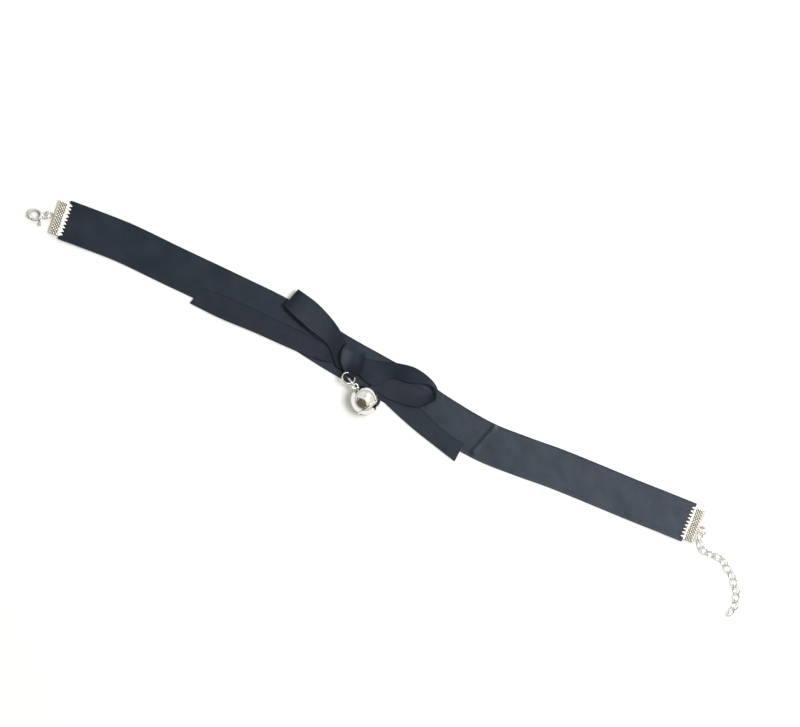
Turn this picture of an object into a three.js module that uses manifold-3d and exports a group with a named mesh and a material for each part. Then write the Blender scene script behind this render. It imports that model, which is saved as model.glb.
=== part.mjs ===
// Ribbon choker with a bow and a jingle bell, laid open on a flat surface.
// Millimetres, +Z up. The band runs along X: clasp end at -X, chain end at +X.
import * as THREE from 'three';
import { mergeVertices } from 'three/addons/utils/BufferGeometryUtils.js';
import Module from 'manifold-3d';

const wasm = await Module();
wasm.setup();

// Ribbon sizes
const BAND_LENGTH = 341.8;
const BAND_WIDTH = 20;
const RIBBON_WALL = 1.0;
const LAYER_GAP = 0.25;
const BOW_WIDTH = 10;
const LEFT_LOOP_REACH = 42.8;
const RIGHT_LOOP_REACH = 44.6;
const LEFT_TAIL_REACH = 84.9;
const RIGHT_TAIL_REACH = 66.6;
const KNOT_HEIGHT = 12;
const KNOT_WIDTH = 7.6;
const KNOT_ALONG = -12.6;

// Ribbon crimps
const CRIMP_WIDTH = 16.7;
const CRIMP_DEPTH = 7.2;
const CRIMP_METAL = 0.45;
const CRIMP_GAP = 0.15;
const RIBBON_TUCK = 1.7;
const TOOTH_COUNT = 9;
const TOOTH_DEPTH = 1.4;
const TOOTH_CUT_SHARE = 0.7;
const RIB_WIDTH = 0.7;
const RIB_HEIGHT = 0.3;
const TAB_REACH = 0.95;
const TAB_RADIUS = 1.5;
const TAB_THICKNESS = 0.5;
const TAB_HOLE = 1.9;

// Jump rings at the two ends
const END_RING_OUTER = 4.4;
const END_RING_WIRE = 0.6;
const END_RING_CHORD = 3.1;
const END_RING_TILT = 50;
const CLASP_RING_HEADING = 211;
const CHAIN_RING_HEADING = -70;

// Lobster clasp
const CLASP_THICKNESS = 2.2;
const CLASP_HEADING = 198;
const HOOK_LENGTH = 7.6;
const HOOK_WIDTH = 6.0;
const HOOK_HOLE_LENGTH = 3.9;
const HOOK_HOLE_WIDTH = 3.5;
const HOOK_REACH = 5.2;
const EYE_RADIUS = 1.65;
const EYE_HOLE = 2.1;
const EYE_THICKNESS = 0.6;
const EYE_RELIEF = 0.35;
const NECK_WIDTH = 2.2;
const LEVER_THICKNESS = 0.9;
const LEVER_GAP = 0.15;
const LEVER_CUT_GAP = 0.25;
const PIVOT_RADIUS = 1.05;
const PIN_RADIUS = 0.4;
const KNOB_RADIUS = 0.8;
const KNOB_REACH = 4.3;
const LEVER_REACH = 4.2;
const MOUTH_START = 42;
const LIP_ANGLE = -5;
const PIVOT_ANGLE = 140;

// Extender chain
const LINK_COUNT = 13;
const LINK_LENGTH = 5.3;
const LINK_WIDTH = 4.3;
const LINK_WIRE = 0.6;
const LINK_SLACK = 0.3;
const LINK_LEAN = 45;

// Jingle bell and its two rings
const BELL_RADIUS = 7.0;
const BELL_METAL = 0.45;
const BELL_NEST_GAP = 0.12;
const BELL_SEAM_DROP = 3.0;
const BELL_NEST_DEPTH = 1.2;
const BELL_EYE_ALONG = 6.3;
const BELL_EYE_SIDE = -11.37;
const BELL_HEADING = 152;
const BELL_TIP_UP = 6;
const BELL_SLOT_WIDTH = 1.1;
const BELL_HOLE_RADIUS = 1.15;
const BELL_HOLE_ANGLE = 52;
const BELL_SLOTS = 2;
const BELL_SLOT_TURN = 20;
const BALL_RADIUS = 2.2;
const BALL_GAP = 0.25;
const BELL_EYE_WIRE = 0.8;
const BELL_EYE_RADIUS = 1.25;
const KNOT_RING_OUTER = 7.2;
const KNOT_RING_WIRE = 0.9;
const KNOT_RING_LEAN = 33;
const KNOT_RING_RAISE = 1.8;
const KNOT_RING_OUT = 1.0;
const EYE_RING_OUTER = 6.3;
const EYE_RING_WIRE = 0.8;
const EYE_RING_RAISE = 2.46;

// Facets
const BAND_STEPS = 56;
const LOOP_STEPS = 40;
const TAIL_STEPS = 16;
const KNOT_STEPS = 28;
const WIRE_SIDES = 6;
const RING_SEGMENTS = 16;
const LINK_SEGMENTS = 12;
const ARC_SEGMENTS = 16;
const BELL_SEGMENTS = 28;
const BELL_ARC_STEPS = 8;
const HOLE_SIDES = 12;
const BALL_SEGMENTS = 12;
const SECTOR_STEPS = 4;
const SLOPE_STEP = 0.25;
const CUT_OVERSHOOT = 1;

// Derived sizes
const LAYER_PITCH = RIBBON_WALL + LAYER_GAP;
const CRIMP_HEIGHT = 2 * (CRIMP_METAL + CRIMP_GAP) + RIBBON_WALL;
const BAND_END_LIFT = CRIMP_METAL + CRIMP_GAP;
const LINK_PITCH = LINK_LENGTH - 2 * LINK_WIRE - LINK_SLACK;
const UP = new THREE.Vector3(0, 0, 1);

const BLACK_SATIN = { color: 0x2c3038, roughness: 0.42, metalness: 0.0 };
const SILVER_PLATE = { color: 0xcfcfc8, roughness: 0.22, metalness: 1.0 };
const BELL_PLATE = { color: 0xd8d8d0, roughness: 0.1, metalness: 1.0 };

// Rows of the band's centre line: along is a share of the band's length from its
// middle, side a share of its width, and lift a share of the crimps' slot height.
const BAND_ROWS = [
  { along: -0.5, side: 0.0, lift: 1 },
  { along: -0.4925, side: 0.015, lift: 1 },
  { along: -0.465, side: 0.06, lift: 0 },
  { along: -0.409, side: 0.135, lift: 0 },
  { along: -0.332, side: 0.14, lift: 0 },
  { along: -0.237, side: 0.155, lift: 0 },
  { along: -0.159, side: 0.145, lift: 0 },
  { along: -0.058, side: -0.03, lift: 0 },
  { along: 0.041, side: -0.14, lift: 0 },
  { along: 0.11, side: -0.31, lift: 0 },
  { along: 0.183, side: -0.405, lift: 0 },
  { along: 0.238, side: -0.34, lift: 0 },
  { along: 0.293, side: -0.24, lift: 0 },
  { along: 0.349, side: -0.175, lift: 0 },
  { along: 0.405, side: -0.12, lift: 0 },
  { along: 0.465, side: -0.045, lift: 0 },
  { along: 0.4925, side: -0.014, lift: 1 },
  { along: 0.5, side: -0.006, lift: 1 },
];

// A point of a bow piece's edge: out is a share of the piece's reach from the knot,
// side a share of the bow ribbon's width, and level counts the ribbon layers below it.
const edge = (out, side, level) => ({ out, side, level });

const LEFT_LOOP_ROWS = [
  { upper: edge(0.007, 0.23, 3.0), lower: edge(0.007, -0.32, 3.0) },
  { upper: edge(0.131, 0.25, 2.9), lower: edge(0.131, -0.3, 2.9) },
  { upper: edge(0.29, 0.86, 2.1), lower: edge(0.29, 0.05, 2.1) },
  { upper: edge(0.605, 1.52, 2.1), lower: edge(0.605, 0.3, 2.1) },
  { upper: edge(0.862, 1.8, 2.4), lower: edge(0.92, 0.66, 2.4) },
  { upper: edge(0.925, 1.93, 3.6), lower: edge(0.995, 0.9, 3.6) },
  { upper: edge(0.869, 1.88, 5.0), lower: edge(0.935, 0.84, 5.0) },
  { upper: edge(0.64, 1.68, 5.9), lower: edge(0.64, 0.55, 5.9) },
  { upper: edge(0.336, 1.07, 5.6), lower: edge(0.336, 0.28, 5.6) },
  { upper: edge(0.136, 0.27, 4.3), lower: edge(0.136, -0.25, 4.3) },
  { upper: edge(0.007, 0.23, 4.0), lower: edge(0.007, -0.32, 4.0) },
];

const RIGHT_LOOP_ROWS = [
  { upper: edge(0.009, 0.23, 3.0), lower: edge(0.009, -0.32, 3.0) },
  { upper: edge(0.121, 0.22, 2.9), lower: edge(0.121, -0.36, 2.9) },
  { upper: edge(0.26, 0.2, 2.2), lower: edge(0.26, -0.72, 2.2) },
  { upper: edge(0.439, 0.2, 2.1), lower: edge(0.439, -0.83, 2.1) },
  { upper: edge(0.652, 0.2, 2.1), lower: edge(0.652, -0.86, 2.4) },
  { upper: edge(0.861, 0.2, 2.1), lower: edge(0.861, -0.72, 3.0) },
  { upper: edge(0.962, 0.17, 2.2), lower: edge(0.942, -0.38, 3.6) },
  { upper: edge(1.0, 0.22, 2.9), lower: edge(0.984, -0.06, 4.6) },
  { upper: edge(0.969, 0.43, 3.9), lower: edge(0.924, 0.05, 5.3) },
  { upper: edge(0.865, 0.7, 5.0), lower: edge(0.798, 0.09, 5.7) },
  { upper: edge(0.664, 0.9, 5.4), lower: edge(0.664, 0.08, 5.7) },
  { upper: edge(0.439, 0.78, 5.2), lower: edge(0.439, -0.06, 5.4) },
  { upper: edge(0.215, 0.38, 4.6), lower: edge(0.215, -0.26, 4.6) },
  { upper: edge(0.094, 0.23, 4.1), lower: edge(0.094, -0.32, 4.1) },
  { upper: edge(0.009, 0.23, 4.0), lower: edge(0.009, -0.32, 4.0) },
];

const LEFT_TAIL_ROWS = [
  { upper: edge(0.004, 0.23, 2.0), lower: edge(0.004, -0.32, 2.0) },
  { upper: edge(0.072, 0.24, 2.0), lower: edge(0.072, -0.45, 2.0) },
  { upper: edge(0.165, 0.18, 1.0), lower: edge(0.165, -0.75, 1.0) },
  { upper: edge(0.351, 0.14, 1.0), lower: edge(0.351, -0.85, 1.0) },
  { upper: edge(0.58, 0.12, 1.0), lower: edge(0.58, -0.91, 1.0) },
  { upper: edge(0.806, 0.08, 1.0), lower: edge(0.806, -1.02, 1.0) },
  { upper: edge(0.971, -0.05, 1.0), lower: edge(1.0, -1.0, 1.0) },
];

const RIGHT_TAIL_ROWS = [
  { upper: edge(0.006, 0.23, 2.0), lower: edge(0.006, -0.32, 2.0) },
  { upper: edge(0.077, 0.18, 2.0), lower: edge(0.077, -0.36, 2.0) },
  { upper: edge(0.204, -0.02, 1.05), lower: edge(0.204, -0.88, 1.05) },
  { upper: edge(0.399, -0.36, 1.0), lower: edge(0.399, -1.35, 1.0) },
  { upper: edge(0.602, -0.72, 1.0), lower: edge(0.602, -1.75, 1.0) },
  { upper: edge(0.835, -1.22, 1.0), lower: edge(0.835, -2.1, 1.0) },
  { upper: edge(1.0, -1.36, 1.0), lower: edge(0.997, -2.33, 1.0) },
];

// Rows round the knot's wrap: side is a share of the knot's height, level counts ribbon
// layers, shift is the row's middle along X and width its breadth, shares of KNOT_WIDTH.
const KNOT_ROWS = [
  { side: 0.3, level: 3.2, shift: -0.25, width: 0.8 },
  { side: 0.22, level: 4.95, shift: -0.25, width: 0.85 },
  { side: 0.0, level: 5.4, shift: -0.13, width: 0.95 },
  { side: -0.29, level: 5.1, shift: 0.04, width: 0.95 },
  { side: -0.55, level: 4.0, shift: 0.18, width: 0.5 },
  { side: -0.675, level: 2.35, shift: 0.21, width: 0.42 },
  { side: -0.575, level: 1.15, shift: 0.2, width: 0.46 },
  { side: -0.25, level: 1.0, shift: 0.04, width: 0.9 },
  { side: 0.12, level: 1.0, shift: -0.18, width: 0.85 },
  { side: 0.28, level: 1.6, shift: -0.25, width: 0.8 },
];

// Route of the chain's links, as steps in millimetres from the far side of its ring
const CHAIN_ROUTE = [
  [0, 0],
  [0.6, -2.8],
  [2.9, -5.9],
  [7.0, -7.0],
  [13.4, -6.6],
  [20.2, -10.0],
  [26.6, -15.8],
  [30.4, -23.2],
  [29.5, -32.0],
];

const radians = (degrees) => THREE.MathUtils.degToRad(degrees);

const flat = (degrees) => new THREE.Vector3(Math.cos(radians(degrees)), Math.sin(radians(degrees)), 0);

function combine(origin, ...terms) {
  const point = origin.clone();
  for (const [vector, amount] of terms) {
    point.addScaledVector(vector, amount);
  }
  return point;
}

function signedVolume(geometry) {
  const position = geometry.getAttribute('position');
  const index = geometry.getIndex();
  const corners = [new THREE.Vector3(), new THREE.Vector3(), new THREE.Vector3()];
  let total = 0;
  for (let i = 0; i < index.count; i += 3) {
    corners.forEach((corner, k) => corner.fromBufferAttribute(position, index.getX(i + k)));
    total += corners[0].dot(corners[1].clone().cross(corners[2])) / 6;
  }
  return total;
}

function turnOutward(geometry) {
  if (signedVolume(geometry) < 0) {
    const index = geometry.getIndex();
    for (let i = 0; i < index.count; i += 3) {
      const first = index.getX(i);
      index.setX(i, index.getX(i + 1));
      index.setX(i + 1, first);
    }
  }
  return geometry;
}

// A geometry reduced to its positions, with shared vertices merged and faces outward
function closedMesh(geometry) {
  const bare = geometry.clone();
  bare.deleteAttribute('normal');
  bare.deleteAttribute('uv');
  return turnOutward(mergeVertices(bare, 1e-4));
}

function toSolid(geometry) {
  const mesh = closedMesh(geometry);
  const vertProperties = new Float32Array(mesh.getAttribute('position').array);
  const triVerts = new Uint32Array(mesh.getIndex().array);
  return new wasm.Manifold(new wasm.Mesh({ numProp: 3, vertProperties, triVerts }));
}

function toGeometry(solid) {
  const mesh = solid.getMesh();
  const geometry = new THREE.BufferGeometry();
  geometry.setAttribute('position', new THREE.BufferAttribute(new Float32Array(mesh.vertProperties), 3));
  geometry.setIndex(new THREE.BufferAttribute(new Uint32Array(mesh.triVerts), 1));
  return geometry;
}

// A solid through equal sections, each a ring of corners, open with caps or closed on itself
function loft(sections, closed) {
  const corners = sections[0].length;
  const positions = sections.flat().flatMap((point) => point.toArray());
  const index = [];
  const spans = closed ? sections.length : sections.length - 1;
  for (let i = 0; i < spans; i += 1) {
    const here = i * corners;
    const there = ((i + 1) % sections.length) * corners;
    for (let j = 0; j < corners; j += 1) {
      const next = (j + 1) % corners;
      index.push(here + j, there + j, there + next, here + j, there + next, here + next);
    }
  }
  if (!closed) {
    const last = (sections.length - 1) * corners;
    for (let j = 1; j < corners - 1; j += 1) {
      index.push(0, j, j + 1, last, last + j + 1, last + j);
    }
  }
  const geometry = new THREE.BufferGeometry();
  geometry.setAttribute('position', new THREE.Float32BufferAttribute(positions, 3));
  geometry.setIndex(index);
  return turnOutward(geometry);
}

// A strip of ribbon between two edge lines, as thick as the ribbon's wall
function ribbon(upperPoints, lowerPoints, steps, closed = false) {
  const upper = new THREE.CatmullRomCurve3(upperPoints, closed);
  const lower = new THREE.CatmullRomCurve3(lowerPoints, closed);
  const middle = (t) => upper.getPoint(t).add(lower.getPoint(t)).multiplyScalar(0.5);
  const nudge = SLOPE_STEP / steps;
  const sections = [];
  const count = closed ? steps : steps + 1;
  for (let i = 0; i < count; i += 1) {
    const t = i / steps;
    const top = upper.getPoint(t);
    const bottom = lower.getPoint(t);
    const before = middle(closed ? (t - nudge + 1) % 1 : Math.max(t - nudge, 0));
    const after = middle(closed ? (t + nudge) % 1 : Math.min(t + nudge, 1));
    const run = after.sub(before).normalize();
    const face = run.cross(bottom.clone().sub(top)).normalize();
    const half = RIBBON_WALL / 2;
    sections.push([
      combine(top, [face, half]),
      combine(bottom, [face, half]),
      combine(bottom, [face, -half]),
      combine(top, [face, -half]),
    ]);
  }
  return loft(sections, closed);
}

const layerHeight = (level) => level * LAYER_PITCH + RIBBON_WALL / 2;

function bowPiece(rows, reach, steps) {
  const place = (spot) => new THREE.Vector3(
    KNOT_ALONG + spot.out * reach,
    spot.side * BOW_WIDTH,
    layerHeight(spot.level),
  );
  return ribbon(rows.map((row) => place(row.upper)), rows.map((row) => place(row.lower)), steps);
}

function knotWrap() {
  const place = (row, half) => new THREE.Vector3(
    KNOT_ALONG + (row.shift + half * row.width) * KNOT_WIDTH,
    row.side * KNOT_HEIGHT,
    layerHeight(row.level),
  );
  const right = KNOT_ROWS.map((row) => place(row, 0.5));
  const left = KNOT_ROWS.map((row) => place(row, -0.5));
  return ribbon(right, left, KNOT_STEPS, true);
}

const bandCurve = new THREE.CatmullRomCurve3(BAND_ROWS.map((row) => new THREE.Vector3(
  row.along * BAND_LENGTH,
  row.side * BAND_WIDTH,
  row.lift * BAND_END_LIFT + RIBBON_WALL / 2,
)), false, 'centripetal');

function band() {
  const upper = [];
  const lower = [];
  for (let i = 0; i <= BAND_STEPS; i += 1) {
    const t = i / BAND_STEPS;
    const centre = bandCurve.getPoint(t);
    centre.setZ(Math.max(centre.z, RIBBON_WALL / 2));
    const across = UP.clone().cross(bandCurve.getTangent(t).setZ(0).normalize());
    upper.push(combine(centre, [across, BAND_WIDTH / 2]));
    lower.push(combine(centre, [across, -BAND_WIDTH / 2]));
  }
  return ribbon(upper, lower, BAND_STEPS);
}

// The two ends of the band: where the ribbon stops and which way is outward
function bandEnd(t, sense) {
  const outward = bandCurve.getTangent(t).setZ(0).normalize().multiplyScalar(sense);
  return { point: bandCurve.getPoint(t).setZ(0), outward };
}

function basisAt(origin, xAxis, yAxis) {
  const zAxis = xAxis.clone().cross(yAxis);
  return new THREE.Matrix4().makeBasis(xAxis, yAxis, zAxis).setPosition(origin);
}

function prism(shape, bottom, top) {
  const geometry = new THREE.ExtrudeGeometry(shape, {
    depth: top - bottom,
    bevelEnabled: false,
    curveSegments: ARC_SEGMENTS,
  });
  return geometry.translate(0, 0, bottom);
}

function polygon(points) {
  return new THREE.Shape(points.map(([x, y]) => new THREE.Vector2(x, y)));
}

function oval(centreX, centreY, radiusX, radiusY) {
  const shape = new THREE.Shape();
  shape.absellipse(centreX, centreY, radiusX, radiusY, 0, 2 * Math.PI);
  return shape;
}

// A folded ribbon crimp in its own frame: x points away from the ribbon, y runs across
function crimp() {
  const teethEdge = -RIBBON_TUCK;
  const outerEdge = CRIMP_DEPTH - RIBBON_TUCK;
  const slotEnd = 2 * CRIMP_GAP;
  const ribStart = teethEdge + TOOTH_DEPTH;
  const low = CRIMP_METAL;
  const high = CRIMP_HEIGHT - CRIMP_METAL;
  const profile = polygon([
    [teethEdge, 0],
    [outerEdge, 0],
    [outerEdge, CRIMP_HEIGHT],
    [ribStart + RIB_WIDTH, CRIMP_HEIGHT],
    [ribStart + RIB_WIDTH, CRIMP_HEIGHT + RIB_HEIGHT],
    [ribStart, CRIMP_HEIGHT + RIB_HEIGHT],
    [ribStart, CRIMP_HEIGHT],
    [teethEdge, CRIMP_HEIGHT],
    [teethEdge, high],
    [slotEnd, high],
    [slotEnd, low],
    [teethEdge, low],
  ]);
  const plate = prism(profile, -CRIMP_WIDTH / 2, CRIMP_WIDTH / 2).rotateX(Math.PI / 2);
  const above = CRIMP_HEIGHT + 2 * RIB_HEIGHT;
  const pitch = CRIMP_WIDTH / TOOTH_COUNT;
  let solid = toSolid(plate);
  for (let i = 0; i <= TOOTH_COUNT; i += 1) {
    const y = -CRIMP_WIDTH / 2 + i * pitch;
    const notch = polygon([
      [teethEdge - RIB_WIDTH, y - pitch * TOOTH_CUT_SHARE],
      [teethEdge + TOOTH_DEPTH, y],
      [teethEdge - RIB_WIDTH, y + pitch * TOOTH_CUT_SHARE],
    ]);
    solid = solid.subtract(toSolid(prism(notch, -RIB_HEIGHT, above)));
  }
  const holeX = outerEdge + TAB_REACH;
  const tabLow = CRIMP_HEIGHT / 2 - TAB_THICKNESS / 2;
  const tab = prism(oval(holeX, 0, TAB_RADIUS, TAB_RADIUS), tabLow, tabLow + TAB_THICKNESS);
  const hole = prism(oval(holeX, 0, TAB_HOLE / 2, TAB_HOLE / 2), -RIB_HEIGHT, above);
  const mouth = polygon([
    [outerEdge - TAB_THICKNESS, -TAB_HOLE / 2],
    [outerEdge + TAB_THICKNESS, -TAB_HOLE / 2],
    [outerEdge + TAB_THICKNESS, TAB_HOLE / 2],
    [outerEdge - TAB_THICKNESS, TAB_HOLE / 2],
  ]);
  const relief = toSolid(prism(mouth, -RIB_HEIGHT, above));
  return toGeometry(solid.add(toSolid(tab)).subtract(toSolid(hole)).subtract(relief));
}

function crimpAt(end) {
  const across = UP.clone().cross(end.outward);
  return crimp().applyMatrix4(basisAt(end.point, end.outward, across));
}

// A jump ring that stands through a flat eye at start and another one chord away.
// Both eyes have the same height, and the ring leans over to the given side.
function endRing(start, heading, side) {
  const radius = (END_RING_OUTER - END_RING_WIRE) / 2;
  const chord = flat(heading);
  const perp = UP.clone().cross(chord).multiplyScalar(side);
  const lean = radians(END_RING_TILT);
  const rise = combine(new THREE.Vector3(), [perp, Math.cos(lean)], [UP, Math.sin(lean)]);
  const drop = Math.sqrt(radius ** 2 - (END_RING_CHORD / 2) ** 2);
  const centre = combine(start, [chord, END_RING_CHORD / 2], [rise, drop]);
  const geometry = new THREE.TorusGeometry(radius, END_RING_WIRE / 2, WIRE_SIDES, RING_SEGMENTS);
  return {
    geometry: closedMesh(geometry.applyMatrix4(basisAt(centre, chord, rise))),
    far: combine(start, [chord, END_RING_CHORD]),
  };
}

// Lobster clasp in its own frame: x runs from its eye to its tip, y to the lever's side.
// The lever's end and the lip that it meets are arcs about the pivot, so that it swings inward.
const hookCentre = HOOK_REACH;
const holeCentre = hookCentre - (HOOK_LENGTH - HOOK_WIDTH) / 4;
const pivotSpot = new THREE.Vector2(
  holeCentre + (HOOK_HOLE_LENGTH + HOOK_LENGTH) / 4 * Math.cos(radians(PIVOT_ANGLE)),
  (HOOK_HOLE_WIDTH + HOOK_WIDTH) / 4 * Math.sin(radians(PIVOT_ANGLE)),
);

function sector(fromAngle, toAngle, radius) {
  const centre = [holeCentre, 0];
  const points = [centre];
  for (let i = 0; i <= SECTOR_STEPS; i += 1) {
    const angle = radians(fromAngle + (toAngle - fromAngle) * i / SECTOR_STEPS);
    points.push([holeCentre + radius * Math.cos(angle), radius * Math.sin(angle)]);
  }
  return polygon(points);
}

function hookRing(bottom, top) {
  const outer = toSolid(prism(oval(hookCentre, 0, HOOK_LENGTH / 2, HOOK_WIDTH / 2), bottom, top));
  const hole = oval(holeCentre, 0, HOOK_HOLE_LENGTH / 2, HOOK_HOLE_WIDTH / 2);
  return outer.subtract(toSolid(prism(hole, bottom - CUT_OVERSHOOT, top + CUT_OVERSHOOT)));
}

function claspBody() {
  const top = CLASP_THICKNESS;
  const eye = toSolid(prism(oval(0, 0, EYE_RADIUS, EYE_RADIUS), 0, top));
  const half = NECK_WIDTH / 2;
  const neckEnd = hookCentre - HOOK_LENGTH / 2 + CRIMP_METAL;
  const neck = polygon([[0, -half], [neckEnd, -half], [neckEnd, half], [0, half]]);
  const below = -CUT_OVERSHOOT;
  const above = top + CUT_OVERSHOOT;
  const mouth = toSolid(prism(sector(MOUTH_START, PIVOT_ANGLE, HOOK_LENGTH), below, above));
  const swingRadius = LEVER_REACH + LEVER_CUT_GAP;
  const swing = toSolid(prism(oval(pivotSpot.x, pivotSpot.y, swingRadius, swingRadius), below, above))
    .intersect(toSolid(prism(sector(LIP_ANGLE, PIVOT_ANGLE, HOOK_LENGTH), below, above)));
  const cheek = toSolid(prism(oval(pivotSpot.x, pivotSpot.y, PIVOT_RADIUS, PIVOT_RADIUS), 0, top));
  const slotLow = (top - LEVER_THICKNESS) / 2 - LEVER_GAP;
  const slotHigh = (top + LEVER_THICKNESS) / 2 + LEVER_GAP;
  const slotRadius = PIVOT_RADIUS + LEVER_CUT_GAP;
  const slot = toSolid(prism(oval(pivotSpot.x, pivotSpot.y, slotRadius, slotRadius), slotLow, slotHigh));
  const pin = toSolid(prism(oval(pivotSpot.x, pivotSpot.y, PIN_RADIUS, PIN_RADIUS), 0, top));
  const eyeHole = toSolid(prism(oval(0, 0, EYE_HOLE / 2, EYE_HOLE / 2), below, above));
  const eyeTrim = (top - EYE_THICKNESS) / 2;
  const trim = oval(0, 0, EYE_RADIUS + EYE_RELIEF, EYE_RADIUS + EYE_RELIEF);
  const solid = hookRing(0, top)
    .add(toSolid(prism(neck, 0, top)))
    .subtract(mouth)
    .subtract(swing)
    .add(cheek)
    .subtract(slot)
    .add(pin)
    .add(eye)
    .subtract(toSolid(prism(trim, below, eyeTrim)))
    .subtract(toSolid(prism(trim, top - eyeTrim, above)))
    .subtract(eyeHole);
  return toGeometry(solid);
}

function claspLever() {
  const low = (CLASP_THICKNESS - LEVER_THICKNESS) / 2;
  const high = low + LEVER_THICKNESS;
  const arm = sector(LIP_ANGLE, PIVOT_ANGLE, HOOK_LENGTH);
  const reach = oval(pivotSpot.x, pivotSpot.y, LEVER_REACH, LEVER_REACH);
  const boss = oval(pivotSpot.x, pivotSpot.y, PIVOT_RADIUS, PIVOT_RADIUS);
  const knobX = pivotSpot.x - KNOB_RADIUS / 2;
  const stem = polygon([
    [knobX - KNOB_RADIUS / 2, pivotSpot.y],
    [knobX + KNOB_RADIUS / 2, pivotSpot.y],
    [knobX + KNOB_RADIUS / 2, KNOB_REACH],
    [knobX - KNOB_RADIUS / 2, KNOB_REACH],
  ]);
  const knob = oval(knobX, KNOB_REACH, KNOB_RADIUS, KNOB_RADIUS);
  const bore = oval(pivotSpot.x, pivotSpot.y, PIN_RADIUS + LEVER_GAP, PIN_RADIUS + LEVER_GAP);
  const solid = hookRing(low, high)
    .intersect(toSolid(prism(arm, low, high)))
    .intersect(toSolid(prism(reach, low, high)))
    .add(toSolid(prism(boss, low, high)))
    .add(toSolid(prism(stem, low, high)))
    .add(toSolid(prism(knob, low, high)))
    .subtract(toSolid(prism(bore, low - CUT_OVERSHOOT, high + CUT_OVERSHOOT)));
  return toGeometry(solid);
}

// One oval chain link in its own frame: long way along x, flat in x and y
function chainLink() {
  const halfLength = (LINK_LENGTH - LINK_WIRE) / 2;
  const halfWidth = (LINK_WIDTH - LINK_WIRE) / 2;
  const points = [];
  for (let i = 0; i < LINK_SEGMENTS; i += 1) {
    const angle = 2 * Math.PI * i / LINK_SEGMENTS;
    points.push(new THREE.Vector3(halfLength * Math.cos(angle), halfWidth * Math.sin(angle), 0));
  }
  const line = new THREE.CatmullRomCurve3(points, true);
  return new THREE.TubeGeometry(line, LINK_SEGMENTS, LINK_WIRE / 2, WIRE_SIDES, true);
}

// The links follow the route at their pitch and lean to one side and the other in turn
function chainLinks(start) {
  const route = new THREE.CatmullRomCurve3(
    CHAIN_ROUTE.map(([x, y]) => new THREE.Vector3(start.x + x, start.y + y, 0)),
  );
  const length = route.getLength();
  const lean = radians(LINK_LEAN);
  const height = (LINK_WIDTH - LINK_WIRE) / 2 * Math.sin(lean) + LINK_WIRE / 2;
  const links = [];
  for (let i = 0; i < LINK_COUNT; i += 1) {
    const t = Math.min(((i + 0.5) * LINK_PITCH - LINK_WIRE / 2) / length, 1);
    const centre = route.getPointAt(t).setZ(height);
    const run = route.getTangentAt(t).normalize();
    const side = UP.clone().cross(run);
    const sense = i % 2 === 0 ? -1 : 1;
    const across = combine(new THREE.Vector3(), [side, Math.cos(lean)], [UP, sense * Math.sin(lean)]);
    links.push(closedMesh(chainLink().applyMatrix4(basisAt(centre, run, across))));
  }
  return links;
}

// Bell cups as closed lathe profiles about their axis, which points to the eye
function cupProfile(outer, inner, fromAngle, toAngle) {
  const points = [];
  for (let i = 0; i <= BELL_ARC_STEPS; i += 1) {
    const angle = fromAngle + (toAngle - fromAngle) * i / BELL_ARC_STEPS;
    points.push(new THREE.Vector2(outer * Math.sin(angle), outer * Math.cos(angle)));
  }
  for (let i = BELL_ARC_STEPS; i >= 0; i -= 1) {
    const angle = fromAngle + (toAngle - fromAngle) * i / BELL_ARC_STEPS;
    points.push(new THREE.Vector2(inner * Math.sin(angle), inner * Math.cos(angle)));
  }
  points.push(points[0].clone());
  return points;
}

const cupInner = BELL_RADIUS + BELL_NEST_GAP;
const cupOuter = cupInner + BELL_METAL;
const seamAngle = Math.acos(-BELL_SEAM_DROP / cupOuter);
const topRimAngle = Math.acos(-(BELL_SEAM_DROP + BELL_NEST_DEPTH) / BELL_RADIUS);
const eyeReach = BELL_RADIUS - BELL_METAL + BELL_EYE_RADIUS + BELL_EYE_WIRE / 2;

function bellTop() {
  const profile = cupProfile(BELL_RADIUS, BELL_RADIUS - BELL_METAL, 0, topRimAngle);
  const cup = toSolid(new THREE.LatheGeometry(profile, BELL_SEGMENTS));
  const eye = new THREE.TorusGeometry(BELL_EYE_RADIUS, BELL_EYE_WIRE / 2, WIRE_SIDES, RING_SEGMENTS);
  eye.translate(0, eyeReach, 0);
  const hollow = new THREE.SphereGeometry(BELL_RADIUS - BELL_METAL, BELL_SEGMENTS, BELL_SEGMENTS / 2);
  return toGeometry(toSolid(eye).subtract(toSolid(hollow)).add(cup));
}

function bellBottom() {
  const profile = cupProfile(cupOuter, cupInner, seamAngle, Math.PI);
  let cup = toSolid(new THREE.LatheGeometry(profile, BELL_SEGMENTS));
  const holeAngle = Math.PI - radians(BELL_HOLE_ANGLE);
  for (let i = 0; i < BELL_SLOTS; i += 1) {
    const turn = radians(BELL_SLOT_TURN) + Math.PI * i / BELL_SLOTS;
    const slotLength = 2 * cupOuter * Math.sin(holeAngle);
    const slot = new THREE.BoxGeometry(slotLength, cupOuter, BELL_SLOT_WIDTH);
    slot.translate(0, cupOuter * Math.cos(holeAngle) - cupOuter / 2 + BELL_HOLE_RADIUS, 0).rotateY(turn);
    cup = cup.subtract(toSolid(slot));
  }
  for (let i = 0; i < 2 * BELL_SLOTS; i += 1) {
    const turn = radians(BELL_SLOT_TURN) + Math.PI * i / BELL_SLOTS;
    const hole = new THREE.CylinderGeometry(BELL_HOLE_RADIUS, BELL_HOLE_RADIUS, BELL_RADIUS, HOLE_SIDES);
    hole.translate(0, cupOuter, 0).rotateZ(-holeAngle).rotateY(turn);
    cup = cup.subtract(toSolid(hole));
  }
  return toGeometry(cup);
}

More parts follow.
